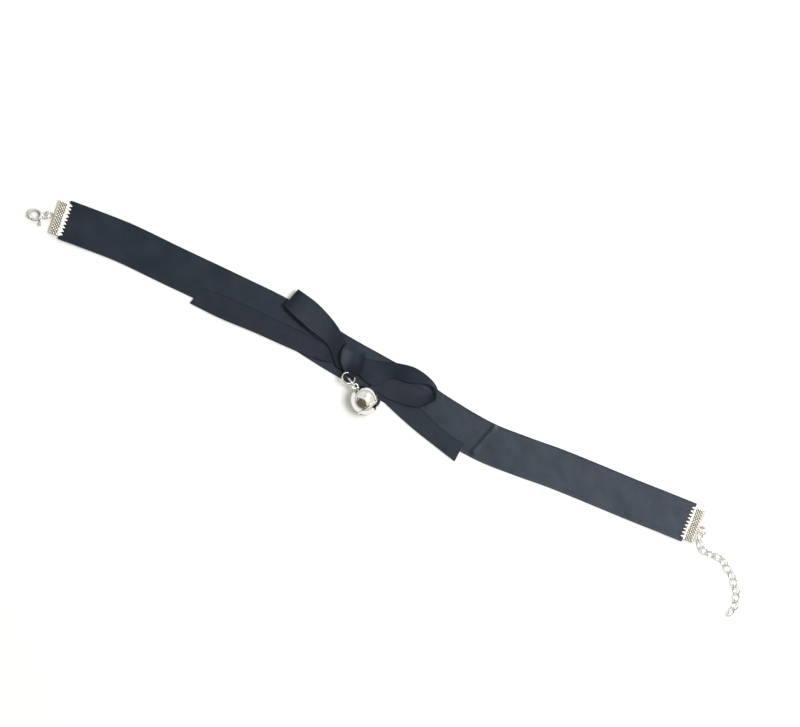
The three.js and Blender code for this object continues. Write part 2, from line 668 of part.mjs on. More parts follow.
const tipUp = radians(BELL_TIP_UP);
const rimRadius = cupOuter * Math.sin(seamAngle);
const bellAxis = combine(new THREE.Vector3(), [flat(BELL_HEADING), Math.cos(tipUp)], [UP, Math.sin(tipUp)]);
const restHeight = rimRadius * Math.cos(tipUp) + BELL_SEAM_DROP * Math.sin(tipUp);
const bellCentre = combine(
  new THREE.Vector3(KNOT_ALONG + BELL_EYE_ALONG, BELL_EYE_SIDE, restHeight),
  [flat(BELL_HEADING), -eyeReach * Math.cos(tipUp)],
);
const bellSide = UP.clone().cross(bellAxis).normalize();
const bellEye = combine(bellCentre, [bellAxis, eyeReach]);

const placeOnBell = (geometry) => geometry.applyMatrix4(basisAt(bellCentre, bellSide.clone().negate(), bellAxis));

function bellBall() {
  const drop = BELL_RADIUS - BELL_METAL - BALL_RADIUS - BALL_GAP;
  const ball = new THREE.SphereGeometry(BALL_RADIUS, BALL_SEGMENTS, BALL_SEGMENTS / 2);
  return closedMesh(ball.translate(bellCentre.x, bellCentre.y, bellCentre.z - drop));
}

// The ring at the knot hooks round the bottom fold of the knot's wrap
const knotRingRadius = (KNOT_RING_OUTER - KNOT_RING_WIRE) / 2;
const knotRingLean = radians(KNOT_RING_LEAN);
const knotRingOut = new THREE.Vector3(0, -Math.cos(knotRingLean), Math.sin(knotRingLean));
const foldRow = KNOT_ROWS.reduce((lowest, row) => (row.side < lowest.side ? row : lowest));
const foldSpot = new THREE.Vector3(
  KNOT_ALONG + foldRow.shift * KNOT_WIDTH,
  foldRow.side * KNOT_HEIGHT,
  layerHeight(foldRow.level),
);
const knotRingCentre = foldSpot.clone().add(new THREE.Vector3(0, -KNOT_RING_OUT, KNOT_RING_RAISE));

function knotRing() {
  const ring = new THREE.TorusGeometry(knotRingRadius, KNOT_RING_WIRE / 2, WIRE_SIDES, RING_SEGMENTS);
  return closedMesh(ring.applyMatrix4(basisAt(knotRingCentre, new THREE.Vector3(1, 0, 0), knotRingOut)));
}

// The second ring stands upright between the first ring and the bell's eye
function eyeRing() {
  const radius = (EYE_RING_OUTER - EYE_RING_WIRE) / 2;
  const run = bellEye.clone().sub(knotRingCentre).setZ(0).normalize();
  const drop = bellEye.z - knotRingCentre.z - EYE_RING_RAISE;
  const centre = combine(bellEye, [run, -Math.sqrt(radius ** 2 - drop ** 2)], [UP, -drop]);
  const ring = new THREE.TorusGeometry(radius, EYE_RING_WIRE / 2, WIRE_SIDES, RING_SEGMENTS);
  return closedMesh(ring.applyMatrix4(basisAt(centre, run, UP.clone())));
}

const choker = new THREE.Group();

function addPiece(name, geometry, finish) {
  geometry.computeVertexNormals();
  const mesh = new THREE.Mesh(geometry, new THREE.MeshStandardMaterial(finish));
  mesh.name = name;
  choker.add(mesh);
}

function addRibbons() {
  addPiece('band_ribbon', band(), BLACK_SATIN);
  addPiece('bow_loop_left', bowPiece(LEFT_LOOP_ROWS, -LEFT_LOOP_REACH, LOOP_STEPS), BLACK_SATIN);
  addPiece('bow_loop_right', bowPiece(RIGHT_LOOP_ROWS, RIGHT_LOOP_REACH, LOOP_STEPS), BLACK_SATIN);
  addPiece('bow_tail_left', bowPiece(LEFT_TAIL_ROWS, -LEFT_TAIL_REACH, TAIL_STEPS), BLACK_SATIN);
  addPiece('bow_tail_right', bowPiece(RIGHT_TAIL_ROWS, RIGHT_TAIL_REACH, TAIL_STEPS), BLACK_SATIN);
  addPiece('bow_knot', knotWrap(), BLACK_SATIN);
}

function addBell() {
  addPiece('bell_top', placeOnBell(bellTop()), BELL_PLATE);
  addPiece('bell_bottom', placeOnBell(bellBottom()), BELL_PLATE);
  addPiece('bell_ball', bellBall(), SILVER_PLATE);
  addPiece('bell_ring_knot', knotRing(), SILVER_PLATE);
  addPiece('bell_ring_eye', eyeRing(), SILVER_PLATE);
}

function tabHole(end) {
  const reach = CRIMP_DEPTH - RIBBON_TUCK + TAB_REACH;
  return combine(end.point, [end.outward, reach], [UP, CRIMP_HEIGHT / 2]);
}

function addClaspEnd() {
  const end = bandEnd(0, -1);
  addPiece('crimp_left', crimpAt(end), SILVER_PLATE);
  const ring = endRing(tabHole(end), CLASP_RING_HEADING, -1);
  addPiece('clasp_ring', ring.geometry, SILVER_PLATE);
  const run = flat(CLASP_HEADING);
  const claspPlace = basisAt(ring.far.clone().setZ(0), run, UP.clone().cross(run));
  addPiece('clasp_body', claspBody().applyMatrix4(claspPlace), SILVER_PLATE);
  addPiece('clasp_lever', claspLever().applyMatrix4(claspPlace), SILVER_PLATE);
}

function addChainEnd() {
  const end = bandEnd(1, 1);
  addPiece('crimp_right', crimpAt(end), SILVER_PLATE);
  const ring = endRing(tabHole(end), CHAIN_RING_HEADING, 1);
  addPiece('chain_ring', ring.geometry, SILVER_PLATE);
  chainLinks(ring.far).forEach((link, i) => {
    addPiece(`chain_link_${String(i + 1).padStart(2, '0')}`, link, SILVER_PLATE);
  });
}

addRibbons();
addBell();
addClaspEnd();
addChainEnd();

// The origin is the middle of the whole choker's outline on the surface that it lies on
const box = new THREE.Box3().setFromObject(choker);
const middle = box.getCenter(new THREE.Vector3());
choker.position.set(-middle.x, -middle.y, -box.min.z);
choker.updateMatrixWorld(true);

export default choker;
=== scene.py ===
"""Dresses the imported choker: satin ribbons, a polished bell, crimps, a clasp, rings and a chain.

Sizes in the tables are millimetres or shares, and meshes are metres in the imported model's frame.
"""
import contextlib
import math

import bmesh
import bpy
import numpy as np
from mathutils import Euler, Matrix, Vector, noise


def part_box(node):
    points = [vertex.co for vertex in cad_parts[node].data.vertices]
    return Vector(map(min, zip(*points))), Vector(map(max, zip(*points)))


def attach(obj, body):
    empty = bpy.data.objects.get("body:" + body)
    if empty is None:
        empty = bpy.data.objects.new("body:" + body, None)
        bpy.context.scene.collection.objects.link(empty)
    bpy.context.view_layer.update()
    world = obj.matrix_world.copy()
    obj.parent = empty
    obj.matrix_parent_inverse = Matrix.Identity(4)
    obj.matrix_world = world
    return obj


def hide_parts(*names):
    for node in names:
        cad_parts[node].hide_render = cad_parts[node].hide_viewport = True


bl_info = {
    "name": "Ribbon choker look",
    "version": (1, 0, 0),
    "blender": (4, 5, 0),
    "location": "3D View > Sidebar > Choker",
    "description": "Builds the satin, silver and stage of a ribbon choker round its packed model",
    "category": "Object",
}

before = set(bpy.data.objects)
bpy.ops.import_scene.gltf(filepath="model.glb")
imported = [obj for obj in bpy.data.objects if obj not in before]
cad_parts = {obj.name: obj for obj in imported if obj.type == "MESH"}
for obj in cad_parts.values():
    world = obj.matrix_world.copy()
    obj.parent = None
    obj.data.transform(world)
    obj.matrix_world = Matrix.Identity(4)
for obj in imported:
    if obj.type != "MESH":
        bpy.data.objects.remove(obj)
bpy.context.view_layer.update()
MM = 0.001
UP = np.array((0.0, 0.0, 1.0))

# Ribbon sizes of the model, in millimetres
BAND_LENGTH = 341.8
BAND_WIDTH = 20.0
BAND_END_LIFT = 0.88
BOW_WIDTH = 10.0
LEFT_LOOP_REACH = 42.8
RIGHT_LOOP_REACH = 44.6
LEFT_TAIL_REACH = 84.9
RIGHT_TAIL_REACH = 66.6
KNOT_HEIGHT = 12.0
KNOT_WIDTH = 7.6
KNOT_ALONG = -12.6

# Crimp sizes, in millimetres
CRIMP_WIDTH = 16.7
CRIMP_DEPTH = 7.2
CRIMP_MIDDLE = 1.1
RIBBON_TUCK = 1.7
TOOTH_COUNT = 9
TOOTH_DEPTH = 1.4
TAB_REACH = 0.95
TAB_RADIUS = 1.22
TAB_WIRE = 0.55
JAW_HALF = 0.66
SPINE_HALF = 1.08
RIB_SETBACK = 0.35
RIB_HALF = 0.32
CRIMP_STEPS = 121
TOOTH_SLOPE = 1.25
TOOTH_SHIFT = 0.12
TOOTH_LEAST = 0.03

# The knurl's bare margin and the width over which it fades in, in millimetres
KNURL_FRONT = (0.9, 0.3)
KNURL_BACK = (0.8, 0.4)
KNURL_SIDE = (0.0, 0.5)

# Bell sizes, in millimetres and degrees
BELL_ALONG = 13.5
BELL_SIDE = -15.2
BELL_RADIUS = 7.0
BELL_METAL = 0.45
BELL_NEST_GAP = 0.12
BELL_SEAM_DROP = 3.0
BELL_NEST_DEPTH = 1.2
BELL_HEADING = 152.0
BELL_TIP_UP = 6.0
BELL_SLOT_WIDTH = 1.1
BELL_HOLE_RADIUS = 1.15
BELL_HOLE_ANGLE = 52.0
BELL_SLOT_TURN = 20.0
BELL_EYE_RADIUS = 1.25
BELL_EYE_WIRE = 0.8
BELL_OUTER = BELL_RADIUS + BELL_NEST_GAP + BELL_METAL
BELL_SLOTS = 2
BELL_HOLE_POLAR = math.radians(180.0 - BELL_HOLE_ANGLE)

# Height of a ribbon's middle over the surface, by the number of ribbon layers below it
LAYER_LEVELS = (0.0, 1.0, 2.0, 3.0, 4.0, 5.0, 6.0)
LAYER_HEIGHTS = (0.22, 0.7, 1.5, 3.3, 5.0, 6.6, 7.9)

# Band's centre line: share of its length, share of its width, and lift into the crimps
BAND_ROWS = (
    (-0.5, 0.0, 1), (-0.4925, 0.015, 0.97), (-0.465, 0.06, 0.74), (-0.409, 0.135, 0.24),
    (-0.332, 0.14, 0), (-0.237, 0.155, 0), (-0.159, 0.145, 0), (-0.058, -0.03, 0),
    (0.041, -0.14, 0), (0.11, -0.31, 0), (0.183, -0.405, 0), (0.238, -0.34, 0),
    (0.293, -0.24, 0), (0.349, -0.175, 0), (0.405, -0.12, 0.24), (0.465, -0.045, 0.74),
    (0.4925, -0.014, 0.97), (0.5, -0.006, 1),
)

# Bow pieces, a row for each section: upper edge, then lower edge, each as share of the
# reach from the knot, share of the bow ribbon's width, and ribbon layers below it
LEFT_LOOP_ROWS = (
    ((0.007, 0.23, 3.0), (0.007, -0.55, 2.7)),
    ((0.131, 0.3, 2.7), (0.131, -0.72, 2.1)),
    ((0.29, 0.9, 2.1), (0.29, -0.06, 2.0)),
    ((0.605, 1.52, 2.1), (0.605, 0.27, 2.1)),
    ((0.862, 1.8, 2.4), (0.92, 0.66, 2.4)),
    ((0.925, 1.93, 3.6), (0.995, 0.9, 3.6)),
    ((0.869, 1.9, 4.3), (0.945, 0.82, 4.3)),
    ((0.64, 1.7, 4.1), (0.64, 0.42, 3.9)),
    ((0.336, 1.14, 3.3), (0.336, 0.08, 2.6)),
    ((0.136, 0.52, 3.2), (0.136, -0.68, 2.75)),
    ((0.007, 0.3, 3.6), (0.007, -0.62, 3.2)),
)
RIGHT_LOOP_ROWS = (
    ((0.009, 0.23, 3.0), (0.009, -0.32, 3.0)),
    ((0.121, 0.22, 2.8), (0.121, -0.54, 2.4)),
    ((0.26, 0.2, 2.1), (0.26, -0.76, 2.0)),
    ((0.439, 0.2, 2.05), (0.439, -0.97, 2.0)),
    ((0.652, 0.2, 2.1), (0.652, -0.95, 2.2)),
    ((0.861, 0.2, 2.1), (0.861, -0.72, 3.0)),
    ((0.962, 0.17, 2.2), (0.952, -0.36, 3.7)),
    ((1.0, 0.22, 2.9), (0.997, -0.02, 4.3)),
    ((0.975, 0.47, 3.8), (0.96, 0.36, 4.5)),
    ((0.9, 0.73, 4.3), (0.88, 0.5, 4.5)),
    ((0.664, 0.97, 4.0), (0.664, 0.18, 3.8)),
    ((0.439, 0.78, 3.2), (0.475, 0.0, 2.5)),
    ((0.26, 0.5, 3.1), (0.31, -0.74, 2.3)),
    ((0.094, 0.3, 3.5), (0.094, -0.5, 2.9)),
    ((0.009, 0.23, 4.0), (0.009, -0.32, 4.0)),
)
LEFT_TAIL_ROWS = (
    ((0.004, 0.23, 2.0), (0.004, -0.32, 2.0)),
    ((0.072, 0.24, 2.0), (0.072, -0.45, 2.0)),
    ((0.165, 0.18, 1.0), (0.165, -0.75, 1.0)),
    ((0.351, 0.14, 1.0), (0.351, -0.85, 1.0)),
    ((0.58, 0.12, 1.0), (0.58, -0.91, 1.0)),
    ((0.806, 0.08, 1.0), (0.806, -1.02, 1.0)),
    ((0.971, -0.05, 1.0), (1.0, -1.0, 1.0)),
)
RIGHT_TAIL_ROWS = (
    ((0.006, 0.23, 2.0), (0.006, -0.32, 2.0)),
    ((0.077, 0.18, 2.0), (0.077, -0.36, 2.0)),
    ((0.204, -0.02, 1.05), (0.204, -0.88, 1.05)),
    ((0.399, -0.36, 1.0), (0.399, -1.35, 1.0)),
    ((0.602, -0.72, 1.0), (0.602, -1.75, 1.0)),
    ((0.835, -1.22, 1.0), (0.835, -2.1, 1.0)),
    ((1.0, -1.36, 1.0), (0.997, -2.33, 1.0)),
)

# Knot's wrap: share of the knot's height, ribbon layers, middle and breadth along X
KNOT_ROWS = (
    (0.4, 2.9, -0.2, 1.2), (0.33, 3.9, -0.2, 1.45), (0.0, 4.35, -0.1, 1.65),
    (-0.29, 4.3, 0.05, 1.5), (-0.53, 3.7, 0.16, 0.85), (-0.675, 2.35, 0.21, 0.42),
    (-0.575, 1.15, 0.2, 0.46), (-0.25, 1.0, 0.04, 0.9), (0.12, 1.0, -0.18, 0.85),
    (0.28, 1.6, -0.25, 0.8),
)
KNOT_STEPS = 120
KNOT_GATHERS = 1.5
KNOT_TUCK = 1.1

# Bow pieces: rows, reach with its sign, sections along them, and how the ribbon is held
BOW_PARTS = (
    ("bow_loop_left", LEFT_LOOP_ROWS, -LEFT_LOOP_REACH, 160, "folded"),
    ("bow_loop_right", RIGHT_LOOP_ROWS, RIGHT_LOOP_REACH, 160, "folded"),
    ("bow_tail_left", LEFT_TAIL_ROWS, -LEFT_TAIL_REACH, 120, "laid"),
    ("bow_tail_right", RIGHT_TAIL_ROWS, RIGHT_TAIL_REACH, 100, "laid"),
)

# Soft waves, in millimetres: the band's size, share of the wrinkle height and seed, then
# the bow's size, height and seed as a multiple of the piece's reach
BAND_WAVES = ((13.0, 1.0, 3.1), (5.0, 0.3, 7.7))
BOW_WAVES = ((7.0, 0.15, 1), (3.0, 0.05, 2))

# Creases, in millimetres: both ends, half width and height
BAND_CREASE = ((64.3, 0.5), (59.9, -15.3), 0.9, 0.3)
TAIL_PINCH = ((-29.0, -7.0), (-20.5, -6.2), 0.6, 0.5)

# Jump rings: outer width and wire, in millimetres
RINGS = (("bell_ring_knot", 7.2, 0.9), ("bell_ring_eye", 6.3, 0.8),
         ("clasp_ring", 4.4, 0.62), ("chain_ring", 4.4, 0.62))

# Castings: piece, node, body, share of the rounding's grain, and smoothing passes
CASTINGS = (("clasp_casting", "clasp_body", "choker", 1.0, 16),
            ("clasp_lever_casting", "clasp_lever", "lever", 0.7, 10))

# Satins: least roughness, gloss, and the selvedge's share of the colour
SATIN_LOOKS = {"band_satin": (0.3, 0.3, 0.25), "bow_satin": (0.44, 0.22, 0.8)}
FLECK_TINT = (0.036, 0.038, 0.042, 1.0)
WAVE_TEXTURE_RATE = 20

# Platings: colour setting, roughness, and the ripples' strength and depth in metres
PLATE_LOOKS = {
    "silver_plate": ("silver", 0.16, 0.2, 0.0001),
    "bell_plate": ("bell", 0.1, 0.4, 0.0002),
    "crimp_plate": ("crimp", 0.3, 0.2, 0.0001),
}

# Stage: the view's turn in degrees and middle in millimetres, and the rest in metres
VIEW_TURN = 25.83
VIEW_MIDDLE = (8.6, 8.3, 0.0)
VIEW_WIDTH = 0.3941
CAMERA_HEIGHT = 1.3
SENSOR_WIDTH = 36.0
FLOOR_REACH = 3.0
FLOOR_HEIGHT = -0.0001

# Lights: place right, back and up from the view's middle, size in metres and power in watts
LIGHTS = (("key", (0.8, 0.9, 1.1), 0.8, 3.0), ("right", (0.52, 0.05, 1.25), 0.45, 13.0))

# Room that the metal reflects: a sky, its clouds, a dark patch and a band at the horizon
SKY = (0.97, 0.97, 0.9, 1.0)
CLOUD = (0.58, 0.57, 0.43, 1.0)
PATCH_HAZE = (0.36, 0.33, 0.24, 1.0)
PATCH_CORE = (0.14, 0.125, 0.09, 1.0)
HORIZON = (0.6, 0.58, 0.53, 1.0)
PATCH_TILT = 57.0
PATCH_HEADING = 252.0
ROOM_STRENGTH = 1.02


def millimetres(name, description, default):
    """A size in metres that is shown as a length, with its default in millimetres."""
    return bpy.props.FloatProperty(
        name=name, description=description, default=default * MM, precision=5,
        subtype="DISTANCE", unit="LENGTH",
    )


def colour(name, description, default):
    """A linear colour."""
    return bpy.props.FloatVectorProperty(
        name=name, description=description, default=default, size=3, min=0.0, max=1.0,
        subtype="COLOR",
    )


class RibbonSizes(bpy.types.PropertyGroup):
    """Sizes of the satin ribbons."""

    thickness: millimetres("Thickness", "Thickness of the satin with its weave", 0.4)
    selvedge: millimetres("Selvedge", "Width of the woven edge", 0.45)
    weave: millimetres("Weave pitch", "Distance from one weft rib to the next", 0.32)
    wrinkle: millimetres("Wrinkle", "Height of the soft waves in the band", 0.16)
    pleat: millimetres("Pleat", "Height of the gathers in the knot", 0.1)


class MetalSizes(bpy.types.PropertyGroup):
    """Sizes of the crimps, rings and chain."""

    knurl_pitch: millimetres("Knurl pitch", "Distance between the knurl's diamonds", 1.45)
    knurl_depth: millimetres("Knurl depth", "Height of the knurl's diamonds", 0.3)
    crimp_metal: millimetres("Crimp metal", "Thickness of the crimps' sheet metal", 0.42)
    rib_height: millimetres("Rib height", "Height of the rib behind the teeth", 0.3)
    link_length: millimetres("Link length", "Outer length of a chain link", 5.3)
    link_width: millimetres("Link width", "Outer width of a chain link", 4.3)
    link_wire: millimetres("Link wire", "Thickness of the chain's wire", 0.62)
    rounding: millimetres("Clasp rounding", "Grain of the clasp's rounded casting", 0.11)


class Finishes(bpy.types.PropertyGroup):
    """Colours of the choker and its stage."""

    band: colour("Band satin", "Colour of the wide ribbon", (0.0065, 0.0105, 0.0205))
    bow: colour("Bow satin", "Colour of the bow's ribbon", (0.0095, 0.011, 0.02))
    hue: colour("Second hue", "Tint of the satin's cool patches", (0.0065, 0.013, 0.0195))
    silver: colour("Silver", "Colour of the small metal parts", (0.68, 0.67, 0.64))
    crimp: colour("Crimp", "Colour of the crimps' plating", (0.9, 0.87, 0.77))
    bell: colour("Bell", "Colour of the bell's plating", (0.82, 0.81, 0.78))
    paper: colour("Floor", "Colour of the plain floor", (0.84, 0.84, 0.85))


def layer_height(level):
    return np.interp(level, LAYER_LEVELS, LAYER_HEIGHTS)


def heading(degrees):
    angle = math.radians(degrees)
    return np.array((math.cos(angle), math.sin(angle), 0.0))


def unit(vector):
    return vector / np.linalg.norm(vector, axis=-1, keepdims=True)


def shift_to_frame():
    """The step from the tables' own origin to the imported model's, in millimetres."""
    low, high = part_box("bell_ball")
    middle = (low + high) / 2 / MM
    return np.array((middle.x - KNOT_ALONG - BELL_ALONG, middle.y - BELL_SIDE, 0.0))


SHIFT = shift_to_frame()


def centripetal(four, weight):
    """A point between the middle two of four points, on a centripetal Catmull-Rom curve."""
    first, start, end, last = four
    gaps = [math.sqrt(np.linalg.norm(b - a)) for a, b in zip(four, four[1:])]
    gaps = [gap if gap > 1e-4 else gaps[1] for gap in gaps]
    lead, span, follow = gaps
    leave = (start - first) / lead - (end - first) / (lead + span) + (end - start) / span
    arrive = (end - start) / span - (last - start) / (span + follow) + (last - end) / follow
    leave, arrive = leave * span, arrive * span
    return (
        start + leave * weight
        + (3 * (end - start) - 2 * leave - arrive) * weight ** 2
        + (2 * (start - end) + leave + arrive) * weight ** 3
    )


def spline(points, shares, closed=False):
    """Places at the given shares of a curve through the points, as the model draws it."""
    points = np.asarray(points, float)
    count = len(points)
    found = []
    for share in shares:
        place = (count if closed else count - 1) * share
        step = int(place) if closed else min(int(place), count - 2)
        if closed:
            four = [points[(step + k - 1) % count] for k in range(4)]
        else:
            before = points[step - 1] if step else 2 * points[0] - points[1]
            after = points[step + 2] if step + 2 < count else 2 * points[-1] - points[-2]
            four = [before, points[step], points[step + 1], after]
        found.append(centripetal(four, place - step))
    return np.array(found)


def waves(points, size, depth, seed):
    """Soft random waves over points: heights from 0 to depth, for waves of about that size."""
    spots = points.reshape(-1, 3)[:, :2] / size
    heights = [noise.noise(Vector((x + seed, y, seed))) for x, y in spots]
    return depth * (0.5 + 0.5 * np.array(heights)).reshape(points.shape[:-1])


def ridge(points, start, end, width, height):
    """A soft crease between two places, as heights over the points."""
    start, end = np.array(start), np.array(end)
    spots = points[..., :2]
    run = end - start
    length = np.linalg.norm(run)
    share = np.clip((spots - start) @ run / length ** 2, 0, 1)
    away = np.linalg.norm(spots - start - share[..., None] * run, axis=-1)
    return height * np.exp(-((away / width) ** 2))


def new_mesh(name, points, faces):
    mesh = bpy.data.meshes.new(name)
    mesh.from_pydata(np.asarray(points).tolist(), [], faces)
    return mesh


def piece_from_mesh(name, mesh):
    obj = bpy.data.objects.new(name, mesh)
    bpy.context.scene.collection.objects.link(obj)
    return obj


def finish_piece(obj, material, nodes, body="choker"):
    """Gives a finished piece its materials, its body, and the model's nodes it stands for."""
    obj.data.materials.clear()
    for one in material if isinstance(material, tuple) else (material,):
        obj.data.materials.append(one)
    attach(obj, body)
    if nodes:
        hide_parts(*nodes)
    return obj


def smooth(mesh, degrees=40.0):
    mesh.shade_smooth()
    mesh.set_sharp_from_angle(angle=math.radians(degrees))
    return mesh


def shell_faces(rows, columns, closed=False):
    """Faces of two layers of points, each a grid, and of the rims that join them."""
    top = np.arange(rows * columns).reshape(rows, columns)
    low = top + rows * columns
    faces = []
    for i in range(rows if closed else rows - 1):
        k = (i + 1) % rows
        for j in range(columns - 1):
            faces.append((top[i, j], top[k, j], top[k, j + 1], top[i, j + 1]))
            faces.append((low[i, j + 1], low[k, j + 1], low[k, j], low[i, j]))
        faces.append((top[i, 0], low[i, 0], low[k, 0], top[k, 0]))
        faces.append((top[i, -1], top[k, -1], low[k, -1], low[i, -1]))
    if not closed:
        for j in range(columns - 1):
            faces.append((top[0, j], top[0, j + 1], low[0, j + 1], low[0, j]))
            faces.append((top[-1, j + 1], top[-1, j], low[-1, j], low[-1, j + 1]))
    return [tuple(int(corner) for corner in face) for face in faces]


def store(mesh, name, values):
    """Stores a number or a vector for each point of a mesh."""
    values = np.asarray(values, np.float32)
    kind, key = ("FLOAT_VECTOR", "vector") if values.ndim == 2 else ("FLOAT", "value")
    mesh.attributes.new(name, kind, "POINT").data.foreach_set(key, values.ravel())


def ribbon_piece(name, upper, lower, sizes, closed=False, across=22, *, relief):
    """A strip of ribbon between two edge lines, in millimetres, with a UV map along it."""
    width = np.linalg.norm(lower - upper, axis=-1)
    selvedge = sizes.selvedge / MM
    edges = np.array((0.0, 0.35, 0.75, 1.0)) * selvedge / width.max()
    between = np.linspace(edges[-1], 1 - edges[-1], across)[1:-1]
    shares = np.concatenate((edges, between, 1 - edges[::-1]))
    half_way = len(shares) // 2
    middle = upper[:, None] + (lower - upper)[:, None] * shares[None, :, None]
    if closed:
        run = np.roll(middle, -1, axis=0) - np.roll(middle, 1, axis=0)
    else:
        run = np.gradient(middle, axis=0)
    face = unit(np.cross(run, np.gradient(middle, axis=1)))
    face = face * math.copysign(1, face[0, half_way, 2])
    middle = middle + face * relief(middle, shares)[..., None]
    edge = np.minimum(shares, 1 - shares) * width[:, None]
    bead = np.interp(edge, (0.0, selvedge * 0.4, selvedge), (0.62, 1.12, 1.0))
    half = (sizes.thickness / MM / 2 * bead)[..., None] * face
    layers = np.stack((middle + half, middle - half))
    steps = np.linalg.norm(np.diff(middle[:, half_way], axis=0), axis=-1)
    along = np.concatenate(((0.0,), np.cumsum(steps)))
    rows, columns = middle.shape[:2]
    mesh = new_mesh(name, (layers.reshape(-1, 3) + SHIFT) * MM, shell_faces(rows, columns, closed))
    flat = np.stack(np.broadcast_arrays(
        shares[None, :] * width[:, None] / 10, along[:, None] / 10), axis=-1).reshape(-1, 2)
    flat = np.concatenate((flat, flat)).astype(np.float32)
    corners = np.zeros(len(mesh.loops), int)
    mesh.loops.foreach_get("vertex_index", corners)
    layer = mesh.uv_layers.new(name="cloth")
    layer.uv.foreach_set("vector", flat[corners].ravel())
    store(mesh, "rim", np.concatenate((edge.ravel(), edge.ravel())))
    smooth(mesh, 50.0)
    turn_outward(mesh)
    first, last = len(edges) - 1, columns - len(edges)
    for polygon in mesh.polygons:
        spots = [corner % (rows * columns) % columns for corner in polygon.vertices]
        polygon.material_index = int(max(spots) <= first or min(spots) >= last)
    return piece_from_mesh(name, mesh)


@contextlib.contextmanager
def editing(mesh):
    """The mesh opened for editing, and written back at the end."""
    work = bmesh.new()
    work.from_mesh(mesh)
    yield work
    work.to_mesh(mesh)
    work.free()


def turn_outward(mesh):
    with editing(mesh) as work:
        bmesh.ops.recalc_face_normals(work, faces=work.faces)


def bow_edges(rows, reach, steps):
    """The two edge lines of a loop or a tail of the bow, in millimetres."""
    shares = np.linspace(0.0, 1.0, steps)
    lines = []
    for side in (0, 1):
        spots = [row[side] for row in rows]
        places = [(KNOT_ALONG + out * reach, across * BOW_WIDTH, layer_height(level))
                  for out, across, level in spots]
        lines.append(spline(places, shares))
    return lines


def band_line():
    """Points of the band's centre line and its directions, in millimetres."""
    rows = [(along * BAND_LENGTH, side * BAND_WIDTH, lift * BAND_END_LIFT + LAYER_HEIGHTS[0])
            for along, side, lift in BAND_ROWS]
    shares = np.linspace(0.0, 1.0, 481)
    centre = spline(rows, shares)
    centre[:, 2] = np.maximum(centre[:, 2], LAYER_HEIGHTS[0])
    flat = spline(np.array(rows) * (1, 1, 0), shares)
    return centre, unit(np.gradient(flat, axis=0))


def band_end(last):
    """An end of the band: its place on the surface, its outward and its sideways direction."""
    centre, runs = band_line()
    spot = centre[-1 if last else 0] * (1, 1, 0)
    outward = runs[-1] if last else -runs[0]
    return spot, outward, np.cross(UP, outward)


# Shader helpers

def shader_tree(name):
    """A new material, its node tree and its shader."""
    material = bpy.data.materials.new(name)
    material.use_nodes = True
    return material, material.node_tree, material.node_tree.nodes["Principled BSDF"]


def fill(tree, node, inputs):
    """Links or sets inputs of a node."""
    for key, value in dict(inputs).items():
        if isinstance(value, bpy.types.NodeSocket):
            tree.links.new(value, node.inputs[key])
        else:
            node.inputs[key].default_value = value


def add_node(tree, kind, settings=(), inputs=()):
    node = tree.nodes.new(kind)
    for key, value in dict(settings).items():
        setattr(node, key, value)
    fill(tree, node, inputs)
    return node


def maths(tree, operation, *values):
    """What a math node makes of its values."""
    node = add_node(tree, "ShaderNodeMath", {"operation": operation}, enumerate(values))
    return node.outputs[0]


def noise_of(tree, place, scale, detail, output="Fac", **more):
    """A noise texture at a place."""
    inputs = {"Vector": place, "Scale": scale, "Detail": detail, **more}
    return add_node(tree, "ShaderNodeTexNoise", inputs=inputs).outputs[output]


def wave_of(tree, place, direction, scale, distortion, **more):
    """A wave texture at a place, in bands across one direction."""
    inputs = {"Vector": place, "Scale": scale, "Distortion": distortion, **more}
    settings = {"bands_direction": direction}
    return add_node(tree, "ShaderNodeTexWave", settings, inputs).outputs["Fac"]


def bump_of(tree, height, strength, distance, **more):
    """The way that a surface faces where a height bumps it."""
    inputs = {"Height": height, "Strength": strength, "Distance": distance, **more}
    return add_node(tree, "ShaderNodeBump", inputs=inputs).outputs["Normal"]


def stretched(tree, place, **inputs):
    return add_node(
        tree, "ShaderNodeMapping", inputs={"Vector": place, **inputs}).outputs["Vector"]


def cloth_place(tree):
    return add_node(tree, "ShaderNodeUVMap", {"uv_map": "cloth"}).outputs["UV"]


def object_place(tree):
    return add_node(tree, "ShaderNodeTexCoord").outputs["Object"]


def stored_value(tree, name):
    return add_node(tree, "ShaderNodeAttribute", {"attribute_name": name}).outputs["Fac"]


def shade_of(base, share):
    return (base[0] * share, base[1] * share, base[2] * share, 1.0)


def mix_colours(tree, factor, first, second):
    node = add_node(tree, "ShaderNodeMix", {"data_type": "RGBA"}, {
        "Factor": factor, 6: first, 7: second})
    return node.outputs[2]


def ramp_value(tree, value, low, high, start, end):
    """A number from start to end, as value runs from low to high."""
    node = add_node(tree, "ShaderNodeMapRange", {"clamp": True}, {
        "Value": value, "From Min": low, "From Max": high, "To Min": start, "To Max": end})
    return node.outputs["Result"]


